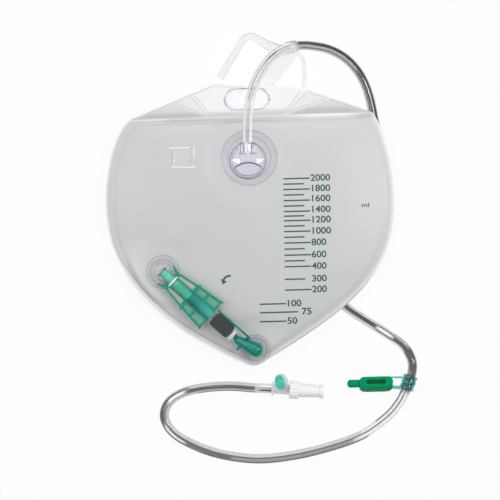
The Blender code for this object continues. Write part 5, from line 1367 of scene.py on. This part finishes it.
# Lever
# A thin green side arm turns on the elbow's pin. It carries a dark rubber thumb pad on a
# thin plate over the drain tube.
ARM_INNER = 0.0077
ARM_OUTER = 0.0097
ARM_START = 0.0680
ARM_KNEE = 0.0962
ARM_LOW = 0.0057
ARM_HIGH = 0.0089
EYE_R = 0.0030
EYE_OUTER = 0.0088
EYE_BORE = 0.00165
PAD_FROM = 0.0693
PAD_TO = 0.0920
PAD_LEFT = -0.0073
PAD_RIGHT = 0.0074
PAD_LOW = 0.0073
PAD_HIGH = 0.0089
PAD_RIB_STEP = 0.0011
CARRIER_RIGHT = 0.0084
CARRIER_LOW = 0.0062
CARRIER_HIGH = 0.0070

# Lever plastic: dark green from a polished mould, with a clear shine along its edge.
lever_green = moulded("dark green lever plastic", "#1F8F82", "#0B6A60", 0.14)
pivot = OUTLET @ Matrix.Translation((PIVOT, 0, 0))
upright = pivot @ Matrix.Rotation(pi / 2, 4, "X")
knee = ARM_KNEE - PIVOT
start = ARM_START - PIVOT
arm_outline = (
    (start, ARM_LOW), (knee, ARM_LOW), (-EYE_R, -EYE_R * 0.4), (EYE_R * 0.6, EYE_R * 0.5),
    (knee + EYE_R * 0.7, ARM_HIGH), (start + 0.001, ARM_HIGH), (start, ARM_HIGH - 0.001),
)
eye_place = pivot @ Matrix.Rotation(pi / 2, 4, "Z")
pad_low, pad_high = PAD_FROM - PIVOT, PAD_TO - PIVOT
carrier = oblong(pad_low + 0.001, PAD_LEFT + 0.0006, pad_high - 0.001, CARRIER_RIGHT)
lever_shape = shape_of(
    slab(softened(arm_outline, 0.0010), -ARM_OUTER, -ARM_INNER, upright, edge=0.00025),
    ("UNION", rod(ARM_INNER, EYE_OUTER, EYE_R, eye_place, sides=40)),
    ("UNION", slab(softened(carrier, 0.0010), CARRIER_LOW, CARRIER_HIGH, pivot)),
    ("DIFFERENCE", rod(0, 0.02, EYE_BORE, eye_place, sides=24, phase=0.4)),
)
piece("lever_arm", lever_shape, lever_green, body="lever", node="clamp_lever")

# Dark rubber pad: matt, with fine cross ribs that catch a soft light.
pad_rubber, tree = start_material("dark grey ribbed rubber")
at = add_node(tree, "ShaderNodeTexCoord")
line_up = add_node(tree, "ShaderNodeMapping", {
    "Vector": at.outputs["Object"], "Rotation": (0, 0, -OUTLET_TURN)})
# The wave texture repeats 3.18 times in each unit of its scale.
ribs = add_node(tree, "ShaderNodeTexWave", {
    "Vector": line_up.outputs[0], "Scale": 1 / (PAD_RIB_STEP * 3.18), "Distortion": 0.4},
    wave_type="BANDS", bands_direction="X")
dust = add_node(tree, "ShaderNodeTexNoise", {"Vector": at.outputs["Object"], "Scale": 700.0, "Detail": 3.0})
tint = add_node(tree, "ShaderNodeMix", {"Factor": dust.outputs["Fac"], "A": linear("#23272A"),
                                        "B": linear("#3A4043")}, data_type="RGBA")
bump = add_node(tree, "ShaderNodeBump", {
    "Height": ribs.outputs["Fac"], "Strength": 0.35, "Distance": 0.0002})
shader = add_node(tree, "ShaderNodeBsdfPrincipled", {
    "Base Color": tint.outputs["Result"], "Roughness": 0.62, "Normal": bump.outputs[0]})
add_node(tree, "ShaderNodeOutputMaterial", {"Surface": shader.outputs[0]})
pad_outline = softened(oblong(pad_low, PAD_LEFT, pad_high, PAD_RIGHT), 0.0036, steps=8)
piece("thumb_pad", slab(pad_outline, PAD_LOW, PAD_HIGH, pivot, edge=0.0006), pad_rubber, body="lever",
      node="lever_pad")

# Dock
# A clear vinyl socket on a round weld flange stores the outlet's nozzle when it isn't in
# use. Two low rings run round its foot.
DOCK_BASE = 0.0169
DOCK_FLANGE = 0.0010
DOCK_RIB_R = 0.0125
DOCK_SLEEVE_R = 0.0065
DOCK_BORE = 0.0050
DOCK_MOUTH = 0.0140
DOCK_BACK = -0.0025
DOCK_RINGS = ((0.0166, 0.0006), (0.0125, 0.0011), (0.0092, 0.0007))

dock_place = OUTLET @ Vector((0.0012, 0.0006, 0))
dock_centre = (dock_place.x, dock_place.y)
dock_disc = (
    (0, 0), (0, DOCK_FLANGE_R), (DOCK_FLANGE * 0.4, DOCK_FLANGE_R),
    (DOCK_FLANGE * 0.8, DOCK_FLANGE_R - 0.001), (DOCK_FLANGE * 0.8, DOCK_RIB_R + 0.0009),
    (DOCK_FLANGE + 0.0008, DOCK_RIB_R + 0.0002), (DOCK_FLANGE + 0.0008, DOCK_RIB_R - 0.0002),
    (DOCK_FLANGE * 0.8, DOCK_RIB_R - 0.0009), (DOCK_FLANGE * 0.8, 0),
)
# Dock vinyl: thin and clear, so it nearly vanishes on the film but for its rims.
clear_dock = moulded("clear dock vinyl", "#D6D5DA", "#CAC9D0", 0.22, cover=0.08)
piece("dock_flange", turned(dock_disc, standing(*dock_centre, DOCK_BASE), sides=96, soft=0.0003), clear_dock,
      slot="outlet_dock")
dock_top = DOCK_BASE + DOCK_FLANGE + 0.0009
dock_rings = (ring(dock_centre, dock_top, radius, width) for radius, width in DOCK_RINGS)
piece("dock_weld_rings", together(*dock_rings), press_line, slot="outlet_dock")
nose_turns = [pi / 2 * i / 10 for i in range(11)]
nose = [(DOCK_BACK + DOCK_SLEEVE_R * 0.7 * (1 - cos(a)), DOCK_SLEEVE_R * sin(a)) for a in nose_turns]
nose[0] = (DOCK_BACK, 0)
dock_outer = [
    *nose, (DOCK_MOUTH - 0.0004, DOCK_SLEEVE_R), (DOCK_MOUTH, DOCK_SLEEVE_R - 0.0004), (DOCK_MOUTH, 0),
]
dock_stand = softened(oblong(DOCK_BACK + 0.002, -0.0039, DOCK_MOUTH - 0.001, 0.0039), 0.0012)
dock_bore = ((0, 0), (0, 0.0033), (0.0012, DOCK_BORE), (0.03, DOCK_BORE), (0.03, 0))
sleeve_shape = shape_of(
    turned(dock_outer, OUTLET, sides=72),
    ("UNION", slab(dock_stand, -0.0070, -0.0040, OUTLET)),
    ("DIFFERENCE", turned(dock_bore, OUTLET, sides=72, phase=0.5)),
)
dock = piece("dock_socket", sleeve_shape, clear_rigid, node="outlet_dock")
dock.visible_shadow = False

# Nozzle and seal
# The outlet's nozzle is moulded in clear mint green. A bright white rubber ring seals it
# where it leaves the dock.
SEAL_FROM = 0.0143
SEAL_LENGTH = 0.0019
SEAL_R = 0.0066
GRIP_FROM = 0.0168
GRIP_R = 0.0053
NOZZLE_R = 0.0047
NOZZLE_BORE = 0.0033
SLEEVE_FROM = 0.0380

# Mint plastic: a little light passes through, which lifts its colour in the thin walls.
mint = moulded("clear mint plastic", "#62D6B4", "#2FB28C", 0.08, clear=0.15)
nozzle_profile = (
    (0.0016, NOZZLE_BORE), (0.0016, NOZZLE_R), (GRIP_FROM, NOZZLE_R), (GRIP_FROM, GRIP_R),
    (SLEEVE_FROM - 0.0003, GRIP_R), (SLEEVE_FROM - 0.0003, NOZZLE_R), (SLEEVE_FROM + 0.0028, NOZZLE_R),
    (SLEEVE_FROM + 0.0028, NOZZLE_BORE),
)
piece("mint_nozzle", turned(nozzle_profile, OUTLET, sides=72, soft=0.0004), mint, body="outlet",
      node="outlet_nozzle")
# White rubber: bright and smooth, with a small soft gleam round it.
seal_white = moulded("bright white rubber", "#FFFFFF", "#F2F3F3", 0.20)
seal_profile = ((0, NOZZLE_R + 0.0003), (0, SEAL_R), (SEAL_LENGTH, SEAL_R), (SEAL_LENGTH, NOZZLE_R + 0.0003))
seal_place = OUTLET @ Matrix.Translation((SEAL_FROM, 0, 0))
piece("white_seal", turned(seal_profile, seal_place, sides=72, soft=0.0005), seal_white, body="outlet",
      node="nozzle_seal")

# Guard
# One green moulding round the nozzle: a sleeve with two ladder-like wings. Rails and rungs
# are thick, and thin clear panes between them show the film behind.
GUARD_THICK = 0.0026
PANE_THICK = 0.0008
SLEEVE_END = 0.0670
SLEEVE_R = 0.0059
SLOT_HALF = 0.0057
GUARD_EDGE = (
    (0.0122, 0.0072), (0.0046, 0.0114), (0.0054, 0.0128), (0.0136, 0.0104), (0.0362, 0.0139),
    (0.0380, 0.0162), (0.0402, 0.0146), (0.0634, 0.0173), (0.0666, 0.0184), (0.0668, 0.0160),
    (0.0655, 0.0150), (0.0660, 0.0040),
)
GUARD_WINDOWS = (
    ((0.0160, 0.0063), (0.0160, 0.0088), (0.0357, 0.0118), (0.0357, 0.0063)),
    ((0.0396, 0.0070), (0.0396, 0.0121), (0.0494, 0.0132), (0.0494, 0.0072)),
    ((0.0514, 0.0072), (0.0514, 0.0134), (0.0640, 0.0149), (0.0640, 0.0070)),
)

# Guard plastic: clear green, and over 2 mm thick in rails and rungs, where it looks deep.
guard_green = moulded("clear green moulded plastic", "#17A789", "#008065", 0.12)
# Teal sleeve plastic. Painted light makes it lighter towards the open end and the upper side, and
# darker away from them.
sleeve_teal, tree = start_material("teal sleeve plastic")
at = add_node(tree, "ShaderNodeTexCoord")
line_up = add_node(tree, "ShaderNodeMapping", {
    "Vector": at.outputs["Object"], "Rotation": (0, 0, -OUTLET_TURN)})
parts = add_node(tree, "ShaderNodeSeparateXYZ", {0: line_up.outputs[0]})
lengthwise = add_node(tree, "ShaderNodeMapRange", {0: parts.outputs["X"], 1: 0.0280, 2: 0.0480, 4: 0.6})
crosswise = add_node(tree, "ShaderNodeMapRange", {0: parts.outputs["Y"], 1: -0.1180, 2: -0.1070, 4: 0.4})
# The share of painted light, lighter towards the open end and the upper side.
thin = add_node(tree, "ShaderNodeMath", {0: lengthwise.outputs[0], 1: crosswise.outputs[0]}, operation="ADD")
tint = add_node(tree, "ShaderNodeMix", {
    "Factor": thin.outputs[0], "A": linear("#00736E"), "B": linear("#4CC0AF")}, data_type="RGBA")
shader = add_node(tree, "ShaderNodeBsdfPrincipled", {
    "Base Color": tint.outputs["Result"], "Roughness": 0.12, "IOR": 1.50})
add_node(tree, "ShaderNodeOutputMaterial", {"Surface": shader.outputs[0]})
# Panes: the same plastic under 1 mm thick, so they only tint the film behind them.
pane_clear = moulded("thin green panes", "#7FD2B4", "#5FBF9E", 0.14, cover=0.42)
pane_pale = moulded("thin clear panes", "#E6EAE9", "#DADFDE", 0.14, cover=0.30)
slot_end = SLEEVE_FROM + 0.0008
guard_slot = [(0.0122, SLOT_HALF), (slot_end, SLOT_HALF), (slot_end, -SLOT_HALF), (0.0122, -SLOT_HALF)]
guard_outline = [*guard_slot, *((t, -n) for t, n in GUARD_EDGE), *GUARD_EDGE[::-1]]
cuts = []
panes = []
for window in GUARD_WINDOWS:
    for side in (1, -1):
        opening = [(t, n * side) for t, n in window]
        cuts.append(("DIFFERENCE", slab(softened(opening, 0.0006), -0.01, 0.01, OUTLET)))
        panes.append(slab(opening, -PANE_THICK / 2, PANE_THICK / 2, OUTLET))
cuts.append(("DIFFERENCE", rod(SLEEVE_FROM, 0.08, SLEEVE_R - 0.0002, OUTLET, sides=64, phase=0.3)))
cuts.append(("DIFFERENCE", rod(0, GRIP_FROM, SEAL_R + 0.0003, OUTLET, sides=64)))
wings = slab(softened(guard_outline, 0.0005, steps=2), -GUARD_THICK / 2, GUARD_THICK / 2, OUTLET, edge=0.0004)
piece("guard_wings", shape_of(wings, *cuts), guard_green, body="outlet", node="outlet_guard")
piece("guard_clear_panes", together(*panes[:2]), pane_pale, body="outlet", slot="outlet_guard")
piece("guard_panes", together(*panes[2:]), pane_clear, body="outlet", slot="outlet_guard")
sleeve_outer = (
    (SLEEVE_FROM, 0), (SLEEVE_FROM, SLEEVE_R - 0.0004), (SLEEVE_FROM + 0.009, SLEEVE_R),
    (SLEEVE_END - 0.008, SLEEVE_R - 0.0002), (SLEEVE_END, SLEEVE_R - 0.0005), (SLEEVE_END, 0),
)
sleeve_bore = (
    (slot_end - 0.002, 0), (slot_end - 0.002, NOZZLE_R + 0.0003), (SLEEVE_FROM + 0.0031, NOZZLE_R + 0.0003),
    (SLEEVE_FROM + 0.0031, NOZZLE_BORE), (DRAIN_START - 0.0003, NOZZLE_BORE),
    (DRAIN_START - 0.0003, DRAIN_R + 0.0003), (SLEEVE_END + 0.002, DRAIN_R + 0.0003),
    (SLEEVE_END + 0.002, 0),
)
guard_sleeve = shape_of(turned(sleeve_outer, OUTLET, sides=72),
                        ("DIFFERENCE", turned(sleeve_bore, OUTLET, sides=72, phase=0.5)))
piece("guard_sleeve", guard_sleeve, sleeve_teal, body="outlet", slot="outlet_guard")

# Connector and sample port
# The tube ends on a clear rigid connector. Its side port is a short drum closed by an aqua
# rubber septum, through which a sample is drawn.
CONNECTOR = Matrix.Translation((0.0015, -0.1892, 0.0093)) @ Matrix.Rotation(radians(-4.5), 4, "Z")
COLLAR_FROM = 0.0155
COLLAR_R = 0.0072
BARREL_R = 0.0049
BARREL_END = 0.0303
DRUM_R = 0.0082
DRUM_DEPTH = 0.0052
SEPTUM_R = 0.0069
SEPTUM_TOP = 0.0012
SEPTUM_GROOVE = 0.0006
LINK_BORE = 0.0030

port_turn = (CONNECTOR @ Matrix.Translation((0.0233, 0.0071, 0.0066)) @ Matrix.Rotation(radians(196), 4, "Z")
             @ Matrix.Rotation(radians(-41), 4, "Y"))
# Connector plastic: clear and half seen through, with a faint lavender cast.
clear_link = moulded("clear connector plastic", "#F8F7FD", "#DEDCE8", 0.10, cover=0.55, ior=1.35)
# Silicone rubber: bright aqua and satin, deeper in its flow marks.
aqua = moulded("aqua silicone rubber", "#78FFE8", "#08B898", 0.22, marks=330.0)
barrel = ((COLLAR_FROM, 0), (COLLAR_FROM, COLLAR_R), (COLLAR_FROM + 0.0017, COLLAR_R),
          (COLLAR_FROM + 0.0017, BARREL_R), (BARREL_END, BARREL_R), (BARREL_END, 0))
drum = ((-DRUM_DEPTH, 0), (-DRUM_DEPTH, DRUM_R - 0.0015), (-DRUM_DEPTH + 0.0015, DRUM_R), (0, DRUM_R), (0, 0))
link_shape = shape_of(
    turned(barrel, CONNECTOR, sides=64, soft=0.0003),
    ("UNION", turned(drum, port_turn, sides=72, soft=0.0004)),
    ("DIFFERENCE", rod(-0.0016, 0.006, SEPTUM_R + 0.0002, port_turn, sides=72, phase=0.5)),
    ("DIFFERENCE", rod(0, 0.06, LINK_BORE, CONNECTOR, sides=48, phase=0.4)),
    ("DIFFERENCE", rod(0.0300, 0.07, 0.0093, CONNECTOR, sides=64, phase=0.2)),
)
piece("tube_connector", link_shape, clear_link, node="connector_body")
septum_profile = (
    (-0.0013, 0), (-0.0013, SEPTUM_R), (SEPTUM_TOP, SEPTUM_R), (SEPTUM_TOP, SEPTUM_R * 0.74),
    (SEPTUM_TOP - SEPTUM_GROOVE, SEPTUM_R * 0.66), (SEPTUM_TOP - SEPTUM_GROOVE, SEPTUM_R * 0.58),
    (SEPTUM_TOP + SEPTUM_GROOVE, SEPTUM_R * 0.48), (SEPTUM_TOP + SEPTUM_GROOVE, 0),
)
piece("aqua_septum", turned(septum_profile, port_turn, sides=72, soft=0.0004), aqua,
      node="sample_port_septum")

# Adapter and cap
# A stepped taper that fits a catheter sits in the connector, and a frosted cap with a
# fluted grip and an open lip covers it until use.
ADAPTER_END = 0.0540
CAP_FROM = 0.0332
GRIP_END = 0.0425
GRIP_OUT = 0.0090
FLUTES = 20
FLUTE_DEPTH = 0.00035
CAP_R = 0.0073
CAP_TIP_R = 0.0059
CAP_TIP = 0.0632
LIP_END = 0.0674
LIP_R = 0.0071

# Taper plastic: clear enough that its barbs show as fine grey rings.
clear_taper = moulded("clear taper plastic", "#EDEEEF", "#DDDFE0", 0.10, clear=0.8)
taper = [(0.0303, 0.0019), (0.0303, 0.0054), (0.0323, 0.0054)]
for barb in range(3):
    root = 0.0043 - 0.0011 * barb / 3
    taper += [(0.0323 + 0.0217 * barb / 3, root), (0.0323 + 0.0217 * (barb + 0.9) / 3, root - 0.0003)]
taper += [(ADAPTER_END, 0.0029), (ADAPTER_END, 0.0019)]
piece("stepped_taper", turned(taper, CONNECTOR, sides=48, soft=0.0002), clear_taper,
      node="catheter_adapter")


def flutes(along, angle):
    """Shallow round flutes round the cap's grip."""
    if not CAP_FROM + 0.0004 < along < GRIP_END - 0.0002:
        return 0.0
    return FLUTE_DEPTH * (1 + cos(FLUTES * angle))


# Polyethylene from a blasted mould: frosted white, with no sharp highlight.
frosted = moulded("frosted polyethylene", "#FFFFFF", "#F3F4F5", 0.42)
cap_profile = (
    (ADAPTER_END + 0.002, 0), (ADAPTER_END + 0.002, 0.0040), (CAP_FROM + 0.0045, 0.0050),
    (CAP_FROM + 0.0025, 0.0057), (CAP_FROM, 0.0057), (CAP_FROM, GRIP_OUT - 0.0006),
    (CAP_FROM + 0.0005, GRIP_OUT),
    (CAP_FROM + 0.0030, GRIP_OUT), (GRIP_END - 0.0005, GRIP_OUT), (GRIP_END, GRIP_OUT - 0.0006),
    (GRIP_END + 0.0002, CAP_R), (CAP_TIP, CAP_TIP_R), (CAP_TIP, LIP_R), (LIP_END, LIP_R),
    (LIP_END, LIP_R - 0.0011), (CAP_TIP + 0.0013, LIP_R - 0.0014), (CAP_TIP + 0.0013, 0),
)
piece("frosted_cap", turned(cap_profile, CONNECTOR, sides=160, soft=0.0002, flute=flutes), frosted,
      body="cap", node="adapter_cap", crease=50)

# Sheet clip
# A green polypropylene clip that pins the tube to the bed sheet: a squeeze loop with grip
# ribs, a tongue, and a collar that grips the tube.
LOOP = (0.1215, -0.1887)
LOOP_LENGTH = 0.0340
LOOP_WIDTH = 0.0106
LOOP_WALL = 0.0031
LOOP_LOW = 0.0003
LOOP_HIGH = 0.0103
LOOP_LEAN = radians(28)
LOOP_RIBS = 13
RIB_SPAN = 0.0200
RIB_DEPTH = 0.00025
TONGUE_FROM = 0.0926
TONGUE_R = 0.0040
COLLAR_AT = (0.153953, -0.188067, 0.007497)
COLLAR_RUN = (-0.360316, -0.93283, 0.000439)
COLLAR_OUT = 0.0073
COLLAR_LENGTH = 0.0150
COLLAR_BORE = 0.0052
COLLAR_ARM_LOW = 0.0031
COLLAR_ARM_HIGH = 0.0084


def leaned(bm):
    """Lean the standing loop towards +Y about its mid height, then put it in its place."""
    middle = (LOOP_LOW + LOOP_HIGH) / 2
    for vert in bm.verts:
        vert.co.y += (vert.co.z - middle) * tan(LOOP_LEAN)
    bm.transform(Matrix.Translation((*LOOP, 0)))
    return bm


def ribbed_stadium():
    """The loop's outline, with fine round ribs along its lower side."""
    half = LOOP_WIDTH / 2
    ribs = []
    for i in range(LOOP_RIBS * 8 + 1):
        x = -RIB_SPAN / 2 + RIB_SPAN * i / (LOOP_RIBS * 8)
        ribs.append((x, -half - RIB_DEPTH * (1 - cos(2 * pi * i / 8))))
    return stadium((0, 0), LOOP_LENGTH, LOOP_WIDTH) + ribs


# Clip polypropylene: a strong even green with a dull, waxy surface.
clip_green = moulded("green polypropylene", "#06A670", "#008852", 0.30, ior=1.22, shine=0.1)
# Collar plastic: thin and clear, so the tube shows through it with a teal tint.
collar_teal = moulded("clear teal plastic", "#8CDCD6", "#3FADA8", 0.05, clear=0.85)
middle = (LOOP_LOW + LOOP_HIGH) / 2
tongue_run = LOOP[0] - LOOP_LENGTH / 2 - TONGUE_FROM + LOOP_WALL
tip = [(TONGUE_R * 0.8 * (1 - cos(a)), TONGUE_R * sin(a)) for a in (pi / 2 * i / 8 for i in range(9))]
tip[0] = (0.0, 0)
tongue_profile = [*tip, (tongue_run * 0.7, TONGUE_R), (tongue_run, TONGUE_R * 0.8), (tongue_run, 0)]
hole_outline = stadium((0, 0), LOOP_LENGTH - 2 * LOOP_WALL - 0.007, LOOP_WIDTH - 2 * LOOP_WALL)
loop_shape = shape_of(
    leaned(slab(ribbed_stadium(), LOOP_LOW, LOOP_HIGH, edge=0.0005)),
    ("UNION", turned(tongue_profile, Matrix.Translation((TONGUE_FROM, LOOP[1] + 0.001, middle)),
                     sides=40)),
    ("DIFFERENCE", leaned(slab(hole_outline, LOOP_LOW - 0.002, LOOP_HIGH + 0.002))),
)
piece("clip_loop", loop_shape, clip_green, body="clip", node="sheet_clip")

heading = Vector(COLLAR_RUN)
collar_turn = Matrix.Translation(COLLAR_AT) @ heading.to_track_quat("X", "Z").to_matrix().to_4x4()
reach = COLLAR_LENGTH / 2
loop_right = LOOP[0] + LOOP_LENGTH / 2
arms = []
for start, end_place, wide in (
        ((loop_right - 0.004, LOOP[1] + 0.0065), (COLLAR_AT[0] - 0.004, COLLAR_AT[1] + 0.0055), 0.0018),
        ((loop_right - 0.004, LOOP[1] - 0.0030), (COLLAR_AT[0] - 0.006, COLLAR_AT[1] - 0.0050), 0.0034)):
    arm_line = [Vector((*mixed(start, end_place, i / 6), 0)) for i in range(7)]
    arm = slab(strap(arm_line, lambda share: wide), COLLAR_ARM_LOW, COLLAR_ARM_HIGH, edge=0.0003)
    arms.append(("UNION", arm))
collar_profile = [(-reach, 0), (-reach, COLLAR_OUT - 0.0006)]
for i in range(3):
    start = -reach + 0.0008 + i * (COLLAR_LENGTH - 0.0036) / 2
    collar_profile += [(start, COLLAR_OUT), (start + 0.0020, COLLAR_OUT), (start + 0.0026, COLLAR_OUT - 0.0009)]
collar_profile += [(reach, COLLAR_OUT - 0.0009), (reach, 0)]
collar_shape = shape_of(
    turned(collar_profile, collar_turn, sides=72, soft=0.0005),
    *arms,
    ("DIFFERENCE", rod(-0.02, 0.02, COLLAR_BORE, collar_turn, sides=56, phase=0.4)),
)
piece("clip_collar", collar_shape, collar_teal, body="clip", slot="sheet_clip")
